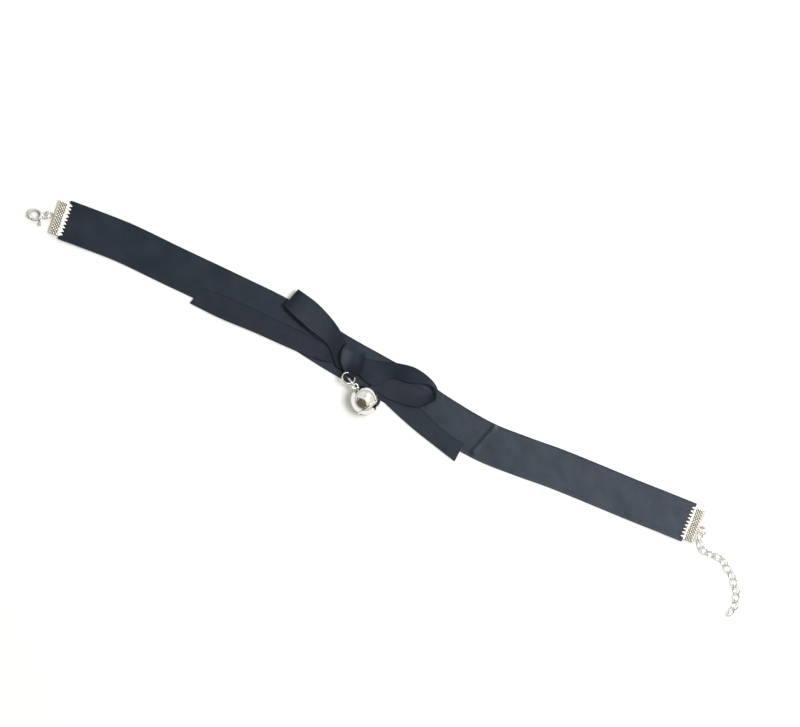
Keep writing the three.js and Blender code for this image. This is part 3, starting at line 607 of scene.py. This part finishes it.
def satin_material(name, sizes, base, hue, rough, gloss):
    """Woven satin: weft ribs and threads along the UV map, cool patches, mottling and pale flecks.
    """
    material, tree, shader = shader_tree(name)
    uv, place = cloth_place(tree), object_place(tree)
    rib_scale = 2 * math.pi / WAVE_TEXTURE_RATE / (sizes.weave * 100)
    ribs = wave_of(tree, uv, "Y", rib_scale, 0.6, Detail=2.0)
    threads = wave_of(tree, uv, "X", rib_scale * 1.7, 0.3)
    slubs = noise_of(tree, stretched(tree, uv, Scale=(6.0, 1.2, 1.0)), 4.0, 4.0)
    mottle = noise_of(tree, place, 90.0, 3.0)
    rim = ramp_value(tree, stored_value(tree, "rim"), 0.15, sizes.selvedge / MM, 1.0, 0.0)
    patches = noise_of(tree, place, 75.0, 2.0, "Color", Roughness=0.6)
    patches = add_node(tree, "ShaderNodeSeparateColor", inputs={"Color": patches}).outputs
    # Sparse flecks paler than the satin, only in some patches
    fleck_patches = ramp_value(tree, patches["Green"], 0.5, 0.68, 0.0, 1.0)
    flecks = ramp_value(tree, noise_of(tree, place, 1500.0, 1.0), 0.63, 0.75, 0.0, 1.0)
    layers = (
        (ramp_value(tree, patches["Red"], 0.4, 0.62, 0.0, 0.85), shade_of(hue, 1.0)),
        (ramp_value(tree, mottle, 0.4, 0.7, 0.0, 0.4), shade_of(base, 1.7)),
        (maths(tree, "MULTIPLY", flecks, fleck_patches), FLECK_TINT),
        (rim, shade_of(base, 0.6)),
    )
    body = mix_colours(tree, slubs, shade_of(base, 0.75), shade_of(base, 1.3))
    for share, layer in layers:
        body = mix_colours(tree, share, body, layer)
    dull = ramp_value(tree, mottle, 0.3, 0.7, rough, rough + 0.06)
    weave = bump_of(tree, maths(tree, "MULTIPLY_ADD", threads, 0.5, ribs), 0.25, 0.00004)
    fill(tree, shader, {
        "Base Color": body,
        "Roughness": maths(tree, "MULTIPLY_ADD", rim, 0.2, dull),
        "Normal": bump_of(tree, mottle, 0.22, 0.0006, Normal=weave),
        "Specular IOR Level": gloss, "Specular Tint": (0.8, 0.88, 1.0, 1.0),
        "Sheen Weight": 0.02, "Sheen Roughness": 0.35})
    return material


def selvedge_material(name, base, share):
    """The ribbon's tight woven edge: dull thread, at a share of the satin's colour."""
    material, tree, shader = shader_tree(name)
    threads = noise_of(tree, cloth_place(tree), 40.0, 2.0)
    fill(tree, shader, {
        "Base Color": mix_colours(
            tree, threads, shade_of(base, 0.3 * share), shade_of(base, share)),
        "Normal": bump_of(tree, threads, 0.5, 0.0001),
        "Roughness": 0.6, "Specular IOR Level": 0.2 * share})
    return material


def plate_material(name, base, rough, ripple, depth):
    """Plated metal with shallow dents, fine scratches and slightly darker worn patches."""
    material, tree, shader = shader_tree(name)
    place = object_place(tree)
    worn = ramp_value(tree, noise_of(tree, place, 350.0, 4.0), 0.45, 0.75, 0.0, 0.5)
    drawn = stretched(tree, place, Rotation=(0.3, 0.5, 0.9), Scale=(1.0, 12.0, 12.0))
    scratches = noise_of(tree, drawn, 500.0, 3.0)
    fill(tree, shader, {
        "Base Color": mix_colours(tree, worn, shade_of(base, 1.0), shade_of(base, 0.82)),
        "Roughness": ramp_value(tree, scratches, 0.3, 0.8, rough * 0.8, rough * 1.5),
        "Normal": bump_of(tree, noise_of(tree, place, 160.0, 1.0), ripple, depth),
        "Metallic": 1.0, "Specular Tint": (0.03, 0.03, 0.025, 1.0)})
    return material


def crimp_material(name, base, *look):
    """The crimps' plating, with painted shade darkening the hollows of the knurl."""
    material = plate_material(name, base, *look)
    tree = material.node_tree
    colour_in = tree.nodes["Principled BSDF"].inputs["Base Color"]
    # Painted shade: the knurl's hollows take a darker copy of the plating
    hollow = ramp_value(tree, stored_value(tree, "hollow"), 0.3, 0.75, 0.0, 1.0)
    plate = colour_in.links[0].from_socket
    tree.links.new(mix_colours(tree, hollow, plate, shade_of(base, 0.24)), colour_in)
    return material


def kept_material(name, maker, *values):
    """The named material, made the first time it is asked for."""
    return bpy.data.materials.get(name) or maker(name, *values)


def satins(scene, name, base):
    """A ribbon's two materials: its satin face and its selvedge."""
    rough, gloss, edge_share = SATIN_LOOKS[name]
    hue = scene.choker_finish.hue
    return (
        kept_material(name, satin_material, scene.choker_ribbon, base, hue, rough, gloss),
        kept_material(name + "_selvedge", selvedge_material, base, edge_share),
    )


def plating(scene, name, maker=plate_material):
    """The named plating, in the colour of its setting."""
    setting, *look = PLATE_LOOKS[name]
    return kept_material(name, maker, getattr(scene.choker_finish, setting), *look)


# Geometry Nodes helpers

def new_tree(name, inputs):
    """A Geometry Nodes tree with named inputs: (label, kind, default) each."""
    tree = bpy.data.node_groups.new(name, "GeometryNodeTree")
    tree.interface.new_socket("Geometry", in_out="INPUT", socket_type="NodeSocketGeometry")
    for label, kind, default in inputs:
        socket = tree.interface.new_socket(
            label, in_out="INPUT", socket_type="NodeSocket" + kind)
        if default is not None:
            socket.default_value = default
    tree.interface.new_socket("Geometry", in_out="OUTPUT", socket_type="NodeSocketGeometry")
    return tree, tree.nodes.new("NodeGroupInput"), tree.nodes.new("NodeGroupOutput")


def end_tree(tree, geometry, material, output):
    """Ends a tree in Realize Instances and Set Material."""
    real = add_node(tree, "GeometryNodeRealizeInstances", inputs={"Geometry": geometry})
    dressed = add_node(tree, "GeometryNodeSetMaterial", inputs={
        "Geometry": real.outputs["Geometry"], "Material": material})
    tree.links.new(dressed.outputs["Geometry"], output.inputs["Geometry"])


def bake_modifiers(obj):
    """Makes what an object's modifiers show its own plain mesh."""
    bpy.context.view_layer.update()
    shown = obj.evaluated_get(bpy.context.evaluated_depsgraph_get())
    mesh = bpy.data.meshes.new_from_object(shown)
    obj.modifiers.clear()
    obj.data = mesh


def run_tree(obj, tree, values):
    """Turns the tree's result on obj into obj's own plain mesh."""
    modifier = obj.modifiers.new(tree.name, "NODES")
    modifier.node_group = tree
    sockets = {item.name: item.identifier for item in tree.interface.items_tree
               if item.item_type == "SOCKET" and item.in_out == "INPUT"}
    for label, value in values.items():
        modifier[sockets[label]] = value
    bake_modifiers(obj)
    obj.data.name = obj.name
    return obj


def circle(tree, corners, radius):
    return add_node(tree, "GeometryNodeCurvePrimitiveCircle", {"mode": "RADIUS"}, {
        "Resolution": corners, "Radius": radius}).outputs["Curve"]


def named(tree, name, kind):
    """A stored attribute, in a Geometry Nodes tree."""
    return add_node(tree, "GeometryNodeInputNamedAttribute", {"data_type": kind}, {
        "Name": name}).outputs["Attribute"]


def wire_loop_tree():
    """Instances one oval wire loop on each point, turned by the point's turn attribute."""
    tree, given, output = new_tree("wire_loops", (
        ("Length", "Float", 0.005), ("Width", "Float", 0.004),
        ("Wire", "Float", 0.0006), ("Turns", "Int", 48),
        ("Sides", "Int", 14), ("Material", "Material", None)))
    given = given.outputs
    reach = [maths(tree, "MULTIPLY", maths(tree, "SUBTRACT", given[label], given["Wire"]), 0.5)
             for label in ("Length", "Width")]
    scale = add_node(tree, "ShaderNodeCombineXYZ", inputs={"X": reach[0], "Y": reach[1], "Z": 1.0})
    oval = add_node(tree, "GeometryNodeTransform", inputs={
        "Geometry": circle(tree, given["Turns"], 1.0),
        "Scale": scale.outputs["Vector"]}).outputs["Geometry"]
    section = circle(tree, given["Sides"], maths(tree, "MULTIPLY", given["Wire"], 0.5))
    loop = add_node(tree, "GeometryNodeCurveToMesh", inputs={
        "Curve": oval, "Profile Curve": section}).outputs["Mesh"]
    rotation = add_node(tree, "FunctionNodeEulerToRotation", inputs={
        "Euler": named(tree, "turn", "FLOAT_VECTOR")}).outputs[0]
    points = add_node(tree, "GeometryNodeMeshToPoints", inputs={
        "Mesh": given["Geometry"]}).outputs["Points"]
    placed = add_node(tree, "GeometryNodeInstanceOnPoints", inputs={
        "Points": points, "Instance": loop, "Rotation": rotation}).outputs["Instances"]
    end_tree(tree, placed, given["Material"], output)
    return tree


def loop_place(node):
    """The middle of a ring or link of the model, and its turn: long way X, wire's plane XY."""
    points = np.array([v.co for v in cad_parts[node].data.vertices])
    middle = (points.min(0) + points.max(0)) / 2
    _, _, axes = np.linalg.svd(points - points.mean(0), full_matrices=False)
    axes[2] = np.cross(axes[0], axes[1])
    return middle, Matrix(axes.T.tolist()).to_euler()


def wire_loops(name, nodes, length, width, wire, material):
    """One mesh of wire loops, each where its node of the model is."""
    places = [loop_place(node) for node in nodes]
    mesh = new_mesh(name, [middle for middle, _ in places], [])
    store(mesh, "turn", [tuple(euler) for _, euler in places])
    obj = piece_from_mesh(name, mesh)
    tree = bpy.data.node_groups.get("wire_loops") or wire_loop_tree()
    run_tree(obj, tree, {"Length": length, "Width": width, "Wire": wire, "Material": material})
    obj.data.shade_smooth()
    return obj


def knurl_tree():
    """Raises a diamond knurl along the normals, and stores how deep each point lies in it, as the
    mask for the painted shade in its hollows.
    """
    tree, given, output = new_tree("crimp_knurl", (
        ("Pitch", "Float", 0.00128), ("Depth", "Float", 0.00015),
        ("Material", "Material", None)))
    given = given.outputs
    share = named(tree, "knurl", "FLOAT")
    spot = add_node(tree, "ShaderNodeSeparateXYZ", inputs={
        "Vector": named(tree, "spot", "FLOAT_VECTOR")}).outputs
    rises = []
    for operation in ("ADD", "SUBTRACT"):
        slant = maths(tree, operation, spot["X"], spot["Y"])
        turns = maths(tree, "DIVIDE", slant, given["Pitch"])
        rises.append(maths(tree, "PINGPONG", turns, 0.5))
    low = maths(tree, "SMOOTH_MIN", *rises, 0.08)
    lift = maths(tree, "MULTIPLY", maths(tree, "MULTIPLY", low, given["Depth"]), share)
    # Mask for the painted shade in the knurl's hollows: 1 deep in a hollow, 0 on a diamond
    hollow = maths(tree, "MULTIPLY", maths(tree, "MULTIPLY_ADD", low, -2.0, 1.0), share)
    normal = add_node(tree, "GeometryNodeInputNormal").outputs["Normal"]
    offset = add_node(tree, "ShaderNodeVectorMath", {"operation": "SCALE"}, {
        "Vector": normal, "Scale": lift}).outputs["Vector"]
    raised = add_node(tree, "GeometryNodeSetPosition", inputs={
        "Geometry": given["Geometry"], "Offset": offset}).outputs["Geometry"]
    raised = add_node(tree, "GeometryNodeStoreNamedAttribute", {
        "data_type": "FLOAT", "domain": "POINT"}, {
        "Geometry": raised, "Name": "hollow", "Value": hollow}).outputs["Geometry"]
    end_tree(tree, raised, given["Material"], output)
    return tree


def crimp_profile(sizes):
    """The crimp's folded sheet as outer and inner points of its section: x outward, z up."""
    teeth = -RIBBON_TUCK
    back = CRIMP_DEPTH - RIBBON_TUCK
    bend_at = back - SPINE_HALF
    metal = sizes.crimp_metal / MM
    along = np.concatenate((np.linspace(teeth, bend_at, 46),
                            bend_at + SPINE_HALF * np.sin(np.linspace(0.12, math.pi / 2, 9))))
    open_share = np.clip((along - teeth) / (bend_at - teeth), 0, 1)
    half = JAW_HALF + (SPINE_HALF - JAW_HALF) * open_share ** 0.8
    bend = np.clip((along - bend_at) / SPINE_HALF, 0, 1)
    half = half * np.sqrt(np.clip(1 - bend ** 2, 0, 1))
    rib_at = teeth + TOOTH_DEPTH + RIB_SETBACK
    rib_rise = sizes.rib_height / MM * np.exp(-(((along - rib_at) / RIB_HALF) ** 4))
    upper = np.stack((along, CRIMP_MIDDLE + half + rib_rise), axis=-1)
    under = np.maximum(CRIMP_MIDDLE - half, sizes.knurl_depth / MM + 0.03)
    lower = np.stack((along, under), axis=-1)[:-1][::-1]
    outer = np.concatenate((upper, lower))
    run = unit(np.gradient(outer, axis=0))
    inner = outer + metal * np.stack((run[:, 1], -run[:, 0]), axis=-1)
    inner[:, 0] = np.clip(inner[:, 0], teeth, back - metal)
    return outer, inner


def fade(distance, margin, width):
    """From 0 to 1 over a width, beyond a bare margin."""
    return np.clip((distance - margin) / width, 0, 1)


def crimp_piece(name, last, scene):
    """A folded crimp with teeth, a raised rib, a diamond knurl and its eye, at a band end."""
    sizes = scene.choker_metal
    layers = np.stack(crimp_profile(sizes))[:, None]
    root, back = TOOTH_DEPTH - RIBBON_TUCK, CRIMP_DEPTH - RIBBON_TUCK
    across = np.linspace(-0.5, 0.5, CRIMP_STEPS) * CRIMP_WIDTH
    teeth = np.abs(((across / CRIMP_WIDTH + 0.5) * TOOTH_COUNT) % 1 - 0.5) * 2
    teeth = np.clip(TOOTH_SLOPE * (1 - teeth) - TOOTH_SHIFT, TOOTH_LEAST, 1.0)[None, :, None]
    x = np.where(layers[..., 0] < root, root + (layers[..., 0] - root) * teeth, layers[..., 0])
    points = np.stack(np.broadcast_arrays(
        x, across[None, :, None], layers[..., 1]), axis=-1).reshape(-1, 3)
    edge = fade(CRIMP_WIDTH / 2 - np.abs(across), *KNURL_SIDE)[None, :, None]
    knurl = fade(x - root, *KNURL_FRONT) * fade(back - x, *KNURL_BACK) * edge
    knurl[1] = 0.0
    spot, outward, side = band_end(last)
    turn = np.array((outward, side, UP))
    mesh = new_mesh(name, (points @ turn + spot + SHIFT) * MM,
                    shell_faces(CRIMP_STEPS, layers.shape[2]))
    store(mesh, "spot", points * (MM, MM, 0))
    store(mesh, "knurl", knurl.ravel())
    turn_outward(mesh)
    obj = piece_from_mesh(name, mesh)
    material = plating(scene, "crimp_plate", crimp_material)
    run_tree(obj, bpy.data.node_groups.get("crimp_knurl") or knurl_tree(), {
        "Pitch": sizes.knurl_pitch, "Depth": sizes.knurl_depth * 2, "Material": material})
    ring, faces = torus(TAB_RADIUS, TAB_WIRE / 2, 40, 14)
    ring = (ring + (back + TAB_REACH, 0, CRIMP_MIDDLE)) @ turn + spot + SHIFT
    add_shell(obj.data, ring * MM, faces)
    smooth(obj.data, 35.0)
    return finish_piece(obj, material, (name,))


def torus(radius, tube, turns, sides):
    """Points and faces of a ring in the XY plane."""
    around = np.linspace(0, 2 * math.pi, turns, endpoint=False)
    about = np.linspace(0, 2 * math.pi, sides, endpoint=False)
    reach = radius + tube * np.cos(about)[None, :]
    points = np.stack((reach * np.cos(around)[:, None], reach * np.sin(around)[:, None],
                       np.broadcast_to(tube * np.sin(about), (turns, sides))), axis=-1)
    faces = []
    for i in range(turns):
        for j in range(sides):
            k, n = (i + 1) % turns, (j + 1) % sides
            faces.append((i * sides + j, k * sides + j, k * sides + n, i * sides + n))
    return points.reshape(-1, 3), faces


def add_shell(mesh, points, faces):
    """Adds a closed shell to a mesh."""
    with editing(mesh) as work:
        corners = [work.verts.new(point) for point in points]
        for face in faces:
            work.faces.new([corners[k] for k in face])


# Bell

def bell_basis():
    """The bell's middle and its axes in the frame: side, upper side and the way to its eye."""
    tip = math.radians(BELL_TIP_UP)
    rim = math.sqrt(BELL_OUTER ** 2 - BELL_SEAM_DROP ** 2)
    height = rim * math.cos(tip) + BELL_SEAM_DROP * math.sin(tip)
    middle = np.array((KNOT_ALONG + BELL_ALONG, BELL_SIDE, height)) + SHIFT
    axis = heading(BELL_HEADING) * math.cos(tip) + UP * math.sin(tip)
    side = unit(np.cross(axis, UP))
    return middle, np.array((side, np.cross(axis, side), axis))


def cup_shell(outer, inner, start, end, rows=64, turns=160):
    """A cup between two spheres: polar angles are from the eye's end, in radians."""
    angles = np.linspace(start, end, rows)
    around = np.linspace(0, 2 * math.pi, turns, endpoint=False)
    work = bmesh.new()

    def ring(radius, angle):
        if math.sin(angle) < 1e-6:
            return [work.verts.new((0, 0, radius * math.cos(angle)))]
        return [work.verts.new((radius * math.sin(angle) * math.cos(a),
                                radius * math.sin(angle) * math.sin(a),
                                radius * math.cos(angle))) for a in around]

    def join(first, second):
        for i in range(turns):
            k = (i + 1) % turns
            corners = [first[i % len(first)], first[k % len(first)],
                       second[k % len(second)], second[i % len(second)]]
            work.faces.new(list(dict.fromkeys(corners)))

    rings = [ring(outer, angle) for angle in angles]
    rings += [ring(inner, angle) for angle in angles[::-1]]
    for first, second in zip(rings, rings[1:]):
        if len(first) > 1 or len(second) > 1:
            join(first, second)
    if len(rings[0]) > 1:
        join(rings[-1], rings[0])
    bmesh.ops.recalc_face_normals(work, faces=work.faces)
    return work


def bell_piece(name, work):
    """A part of the bell in the frame, from points in the bell's own axes."""
    middle, axes = bell_basis()
    mesh = bpy.data.meshes.new(name)
    work.to_mesh(mesh)
    work.free()
    turn = Matrix(axes.T.tolist()).to_4x4()
    mesh.transform(Matrix.Scale(MM, 4) @ Matrix.Translation(Vector(middle)) @ turn)
    mesh.update()
    return piece_from_mesh(name, mesh)


def set_round_normals(mesh):
    """Keeps the polished cups round: faces on the spheres shade by the way from the middle."""
    middle = Vector(bell_basis()[0]) * MM
    normals = [None] * len(mesh.loops)
    for face in mesh.polygons:
        away = (face.center - middle).normalized()
        facing = face.normal.dot(away)
        for corner in face.loop_indices:
            spot = (mesh.vertices[mesh.loops[corner].vertex_index].co - middle).normalized()
            on_sphere = abs(facing) > 0.93
            normals[corner] = spot * math.copysign(1, facing) if on_sphere else face.normal.copy()
    mesh.shade_smooth()
    mesh.normals_split_custom_set(normals)


def slot_cutter(turn):
    """A slot across the bell's foot from hole to hole, in the bell's own axes."""
    out, down = BELL_OUTER * math.sin(BELL_HOLE_POLAR), BELL_OUTER * math.cos(BELL_HOLE_POLAR)
    work = bmesh.new()
    box = bmesh.ops.create_cube(work, size=1.0)["verts"]
    bmesh.ops.scale(work, verts=box, vec=(2 * out, BELL_SLOT_WIDTH, BELL_OUTER))
    bmesh.ops.translate(work, verts=box, vec=(0, 0, down - BELL_OUTER / 2 + BELL_HOLE_RADIUS))
    bmesh.ops.rotate(work, verts=work.verts, cent=(0, 0, 0), matrix=Matrix.Rotation(turn, 3, "Z"))
    return work


def hole_cutter(turn):
    """A round hole at the end of a slot, in the bell's own axes."""
    work = bmesh.new()
    bmesh.ops.create_cone(work, cap_ends=True, segments=32, radius1=BELL_HOLE_RADIUS,
                          radius2=BELL_HOLE_RADIUS, depth=BELL_OUTER)
    bmesh.ops.translate(work, verts=work.verts, vec=(0, 0, BELL_OUTER))
    matrix = Matrix.Rotation(turn, 3, "Z") @ Matrix.Rotation(BELL_HOLE_POLAR, 3, "Y")
    bmesh.ops.rotate(work, verts=work.verts, cent=(0, 0, 0), matrix=matrix)
    return work


def cut(obj, cutter):
    """Cuts a mesh object with another, which is then removed."""
    modifier = obj.modifiers.new("cut", "BOOLEAN")
    modifier.operation = "DIFFERENCE"
    modifier.solver = "EXACT"
    modifier.object = cutter
    bake_modifiers(obj)
    bpy.data.objects.remove(cutter)


def rounded_copy(name, node, grain, passes):
    """A copy of a node of the model with its edges rounded, as cast metal has them."""
    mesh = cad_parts[node].data.copy()
    mesh.name = name
    with editing(mesh) as work:
        bmesh.ops.remove_doubles(work, verts=work.verts, dist=1e-6)
    obj = piece_from_mesh(name, mesh)
    remesh = obj.modifiers.new("remesh", "REMESH")
    remesh.mode = "VOXEL"
    remesh.voxel_size = grain
    relax = obj.modifiers.new("relax", "SMOOTH")
    relax.factor = 0.5
    relax.iterations = passes
    bake_modifiers(obj)
    obj.data.shade_smooth()
    return obj


class CHOKER_OT_stage(bpy.types.Operator):
    """Adds the pale floor, the soft light and the camera over the choker"""

    bl_idname = "choker.stage"
    bl_label = "Stage"

    def execute(self, context):
        scene = context.scene
        right = heading(VIEW_TURN)
        sides = np.array((right, np.cross(UP, right), UP))
        view = (np.array(VIEW_MIDDLE) + SHIFT) * MM
        self.add_camera(scene, view + UP * CAMERA_HEIGHT)
        self.add_floor(scene)
        for name, place, size, power in LIGHTS:
            self.add_light(scene, name, np.array(place) @ sides, view, size, power)
        self.add_room(scene)
        scene.view_settings.view_transform = "Standard"
        return {"FINISHED"}

    def add_camera(self, scene, place):
        data = bpy.data.cameras.new("camera")
        data.sensor_width = SENSOR_WIDTH
        data.lens = SENSOR_WIDTH * CAMERA_HEIGHT / VIEW_WIDTH
        data.clip_end = 10.0
        camera = bpy.data.objects.new("camera", data)
        camera.location = place
        camera.rotation_euler = Euler((0, 0, math.radians(VIEW_TURN)))
        scene.collection.objects.link(camera)
        scene.camera = camera

    def add_floor(self, scene):
        corners = [(x * FLOOR_REACH, y * FLOOR_REACH, FLOOR_HEIGHT)
                   for x, y in ((-1, -1), (1, -1), (1, 1), (-1, 1))]
        mesh = new_mesh("floor", corners, [(0, 1, 2, 3)])
        floor = piece_from_mesh("floor", mesh)
        material, tree, shader = shader_tree("floor_paper")
        fill(tree, shader, {"Base Color": shade_of(scene.choker_finish.paper, 1.0),
                            "Roughness": 0.9, "Specular IOR Level": 0.1})
        mesh.materials.append(material)

    def add_light(self, scene, name, step, target, size, power):
        data = bpy.data.lights.new(name, "AREA")
        data.size = size
        data.energy = power
        light = bpy.data.objects.new(name, data)
        light.location = target + step
        light.rotation_euler = Vector(-step).to_track_quat("-Z", "Y").to_euler()
        scene.collection.objects.link(light)

    def add_room(self, scene):
        world = bpy.data.worlds.new("studio")
        world.use_nodes = True
        tree = world.node_tree
        way = add_node(tree, "ShaderNodeTexCoord").outputs["Generated"]
        tilt = math.radians(PATCH_TILT)
        toward = heading(PATCH_HEADING) * math.sin(tilt) + UP * math.cos(tilt)
        near = add_node(tree, "ShaderNodeVectorMath", {"operation": "DOT_PRODUCT"}, {
            0: way, 1: toward}).outputs["Value"]
        near = maths(tree, "ADD", noise_of(tree, way, 3.5, 2.0), near)
        height = add_node(tree, "ShaderNodeSeparateXYZ", inputs={"Vector": way}).outputs["Z"]
        layers = (
            (ramp_value(tree, noise_of(tree, way, 2.4, 3.0), 0.5, 0.66, 0.0, 0.7), CLOUD),
            (ramp_value(tree, near, 1.1, 1.19, 0.0, 1.0), PATCH_HAZE),
            (ramp_value(tree, near, 1.16, 1.25, 0.0, 1.0), PATCH_CORE),
            (ramp_value(tree, height, 0.08, 0.34, 1.0, 0.0), HORIZON),
        )
        tint = SKY
        for share, layer in layers:
            tint = mix_colours(tree, share, tint, layer)
        fill(tree, tree.nodes["Background"], {"Color": tint, "Strength": ROOM_STRENGTH})
        scene.world = world


class CHOKER_OT_band(bpy.types.Operator):
    """Makes the wide satin band, flat on the surface, with its soft creases"""

    bl_idname = "choker.band"
    bl_label = "Band"

    def execute(self, context):
        sizes = context.scene.choker_ribbon
        centre, runs = band_line()
        across = np.cross(UP, runs)
        wave = sizes.wrinkle / MM

        def relief(points, shares):
            heights = sum(waves(points, size, wave * share, seed)
                          for size, share, seed in BAND_WAVES)
            return heights + ridge(points, *BAND_CREASE)

        piece = ribbon_piece("band_satin", centre + across * BAND_WIDTH / 2,
                             centre - across * BAND_WIDTH / 2, sizes, across=30, relief=relief)
        scene = context.scene
        material = satins(scene, "band_satin", scene.choker_finish.band)
        finish_piece(piece, material, ("band_ribbon",))
        return {"FINISHED"}


class CHOKER_OT_bow(bpy.types.Operator):
    """Makes the bow's two loops, its two tails and its gathered knot"""

    bl_idname = "choker.bow"
    bl_label = "Bow"

    def execute(self, context):
        sizes = context.scene.choker_ribbon
        scene = context.scene
        material = satins(scene, "bow_satin", scene.choker_finish.bow)
        for node, rows, reach, steps, held in BOW_PARTS:
            upper, lower = bow_edges(rows, reach, steps)

            def relief(points, shares):
                soft = sum(waves(points, size, depth, seed * reach)
                           for size, depth, seed in BOW_WAVES)
                pinched = node == "bow_tail_left"
                return soft + (ridge(points, *TAIL_PINCH) if pinched else 0.0)

            piece = ribbon_piece(node + "_satin", upper, lower, sizes, relief=relief)
            finish_piece(piece, material, (node,))
        self.add_knot(sizes, material)
        return {"FINISHED"}

    def add_knot(self, sizes, material):
        edges = []
        for half in (0.5, -0.5):
            places = [(KNOT_ALONG + (shift + half * width) * KNOT_WIDTH, side * KNOT_HEIGHT,
                       layer_height(level)) for side, level, shift, width in KNOT_ROWS]
            edges.append(spline(places, np.arange(KNOT_STEPS) / KNOT_STEPS, closed=True))
        pleat = sizes.pleat / MM

        def relief(points, shares):
            gather = np.cos(shares * 2 * math.pi * KNOT_GATHERS + 0.4)[None, :]
            folds = pleat * 0.5 * gather * np.sin(shares * math.pi)[None, :]
            raised = np.clip((points[..., 2] - 2.0) / 1.5, 0, 1)
            tuck = raised * np.abs(2 * shares - 1)[None, :] ** 3
            return folds + waves(points, 4.0, 3 * pleat, 5.3) - KNOT_TUCK * tuck

        piece = ribbon_piece("bow_knot_satin", edges[0], edges[1], sizes, closed=True,
                             across=36, relief=relief)
        finish_piece(piece, material, ("bow_knot",))


class CHOKER_OT_bell(bpy.types.Operator):
    """Makes the bell's two polished cups, its eye, and dresses the loose ball"""

    bl_idname = "choker.bell"
    bl_label = "Bell"

    def execute(self, context):
        material = plating(context.scene, "bell_plate")
        top_rim = math.acos(-(BELL_SEAM_DROP + BELL_NEST_DEPTH) / BELL_RADIUS)
        seam = math.acos(-BELL_SEAM_DROP / BELL_OUTER)
        work = cup_shell(BELL_RADIUS, BELL_RADIUS - BELL_METAL, 0.0, top_rim)
        top = bell_piece("bell_upper_cup", work)
        set_round_normals(top.data)
        finish_piece(top, material, ("bell_top",))
        self.add_eye(material)
        work = cup_shell(BELL_OUTER, BELL_OUTER - BELL_METAL, seam, math.pi, rows=56)
        low = bell_piece("bell_lower_cup", work)
        for count, cutter in ((BELL_SLOTS, slot_cutter), (2 * BELL_SLOTS, hole_cutter)):
            for i in range(count):
                turn = math.radians(BELL_SLOT_TURN + 180 / BELL_SLOTS * i)
                cut(low, bell_piece("cutter", cutter(turn)))
        set_round_normals(low.data)
        finish_piece(low, material, ("bell_bottom",))
        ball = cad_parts["bell_ball"]
        ball.data.materials.clear()
        ball.data.materials.append(plating(context.scene, "silver_plate"))
        return {"FINISHED"}

    def add_eye(self, material):
        reach = BELL_RADIUS - BELL_METAL + BELL_EYE_RADIUS + BELL_EYE_WIRE / 2
        points, faces = torus(BELL_EYE_RADIUS, BELL_EYE_WIRE / 2, 48, 16)
        middle, axes = bell_basis()
        upright = np.array((axes[0], axes[2], -axes[1]))
        places = ((points + (0, reach, 0)) @ upright + middle) * MM
        mesh = new_mesh("bell_eye", places, faces)
        mesh.shade_smooth()
        turn_outward(mesh)
        finish_piece(piece_from_mesh("bell_eye", mesh), material, ())


class CHOKER_OT_crimps(bpy.types.Operator):
    """Makes the two folded crimps with teeth, a rib, a knurl and an eye"""

    bl_idname = "choker.crimps"
    bl_label = "Crimps"

    def execute(self, context):
        crimp_piece("crimp_left", False, context.scene).name = "crimp_left_knurled"
        crimp_piece("crimp_right", True, context.scene).name = "crimp_right_knurled"
        return {"FINISHED"}


class CHOKER_OT_clasp(bpy.types.Operator):
    """Makes the rounded castings of the lobster clasp and its lever"""

    bl_idname = "choker.clasp"
    bl_label = "Clasp"

    def execute(self, context):
        grain = context.scene.choker_metal.rounding
        material = plating(context.scene, "silver_plate")
        for name, node, body, share, passes in CASTINGS:
            piece = rounded_copy(name, node, grain * share, passes)
            finish_piece(piece, material, (node,), body=body)
        return {"FINISHED"}


class CHOKER_OT_rings(bpy.types.Operator):
    """Makes the four round jump rings"""

    bl_idname = "choker.rings"
    bl_label = "Rings"

    def execute(self, context):
        material = plating(context.scene, "silver_plate")
        for node, outer, wire in RINGS:
            ring = wire_loops(node + "_wire", (node,), outer * MM, outer * MM, wire * MM, material)
            finish_piece(ring, material, (node,))
        return {"FINISHED"}


class CHOKER_OT_chain(bpy.types.Operator):
    """Makes the extender chain's oval links"""

    bl_idname = "choker.chain"
    bl_label = "Chain"

    def execute(self, context):
        sizes = context.scene.choker_metal
        material = plating(context.scene, "silver_plate")
        links = sorted(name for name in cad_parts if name.startswith("chain_link"))
        chain = wire_loops("extender_chain", links, sizes.link_length, sizes.link_width,
                           sizes.link_wire, material)
        finish_piece(chain, material, links)
        return {"FINISHED"}


class CHOKER_PT_look(bpy.types.Panel):
    """Lists the choker's pieces and their settings."""

    bl_label = "Ribbon choker"
    bl_idname = "CHOKER_PT_look"
    bl_space_type = "VIEW_3D"
    bl_region_type = "UI"
    bl_category = "Choker"

    def draw(self, context):
        for operator in OPERATORS:
            self.layout.operator(operator.bl_idname)
        for name in GROUPS:
            group = getattr(context.scene, name)
            for setting in group.__annotations__:
                self.layout.prop(group, setting)


OPERATORS = (CHOKER_OT_stage, CHOKER_OT_band, CHOKER_OT_bow, CHOKER_OT_bell,
             CHOKER_OT_crimps, CHOKER_OT_clasp, CHOKER_OT_rings, CHOKER_OT_chain)
GROUPS = {"choker_ribbon": RibbonSizes, "choker_metal": MetalSizes, "choker_finish": Finishes}


def register():
    for group in GROUPS.values():
        bpy.utils.register_class(group)
    for name, group in GROUPS.items():
        setattr(bpy.types.Scene, name, bpy.props.PointerProperty(type=group))
    for operator in OPERATORS:
        bpy.utils.register_class(operator)
    bpy.utils.register_class(CHOKER_PT_look)


def unregister():
    bpy.utils.unregister_class(CHOKER_PT_look)
    for operator in reversed(OPERATORS):
        bpy.utils.unregister_class(operator)
    for name, group in GROUPS.items():
        delattr(bpy.types.Scene, name)
        bpy.utils.unregister_class(group)


def main():
    register()
    for operator in OPERATORS:
        getattr(bpy.ops.choker, operator.bl_idname.split(".")[1])()


if __name__ == "__main__":
    main()
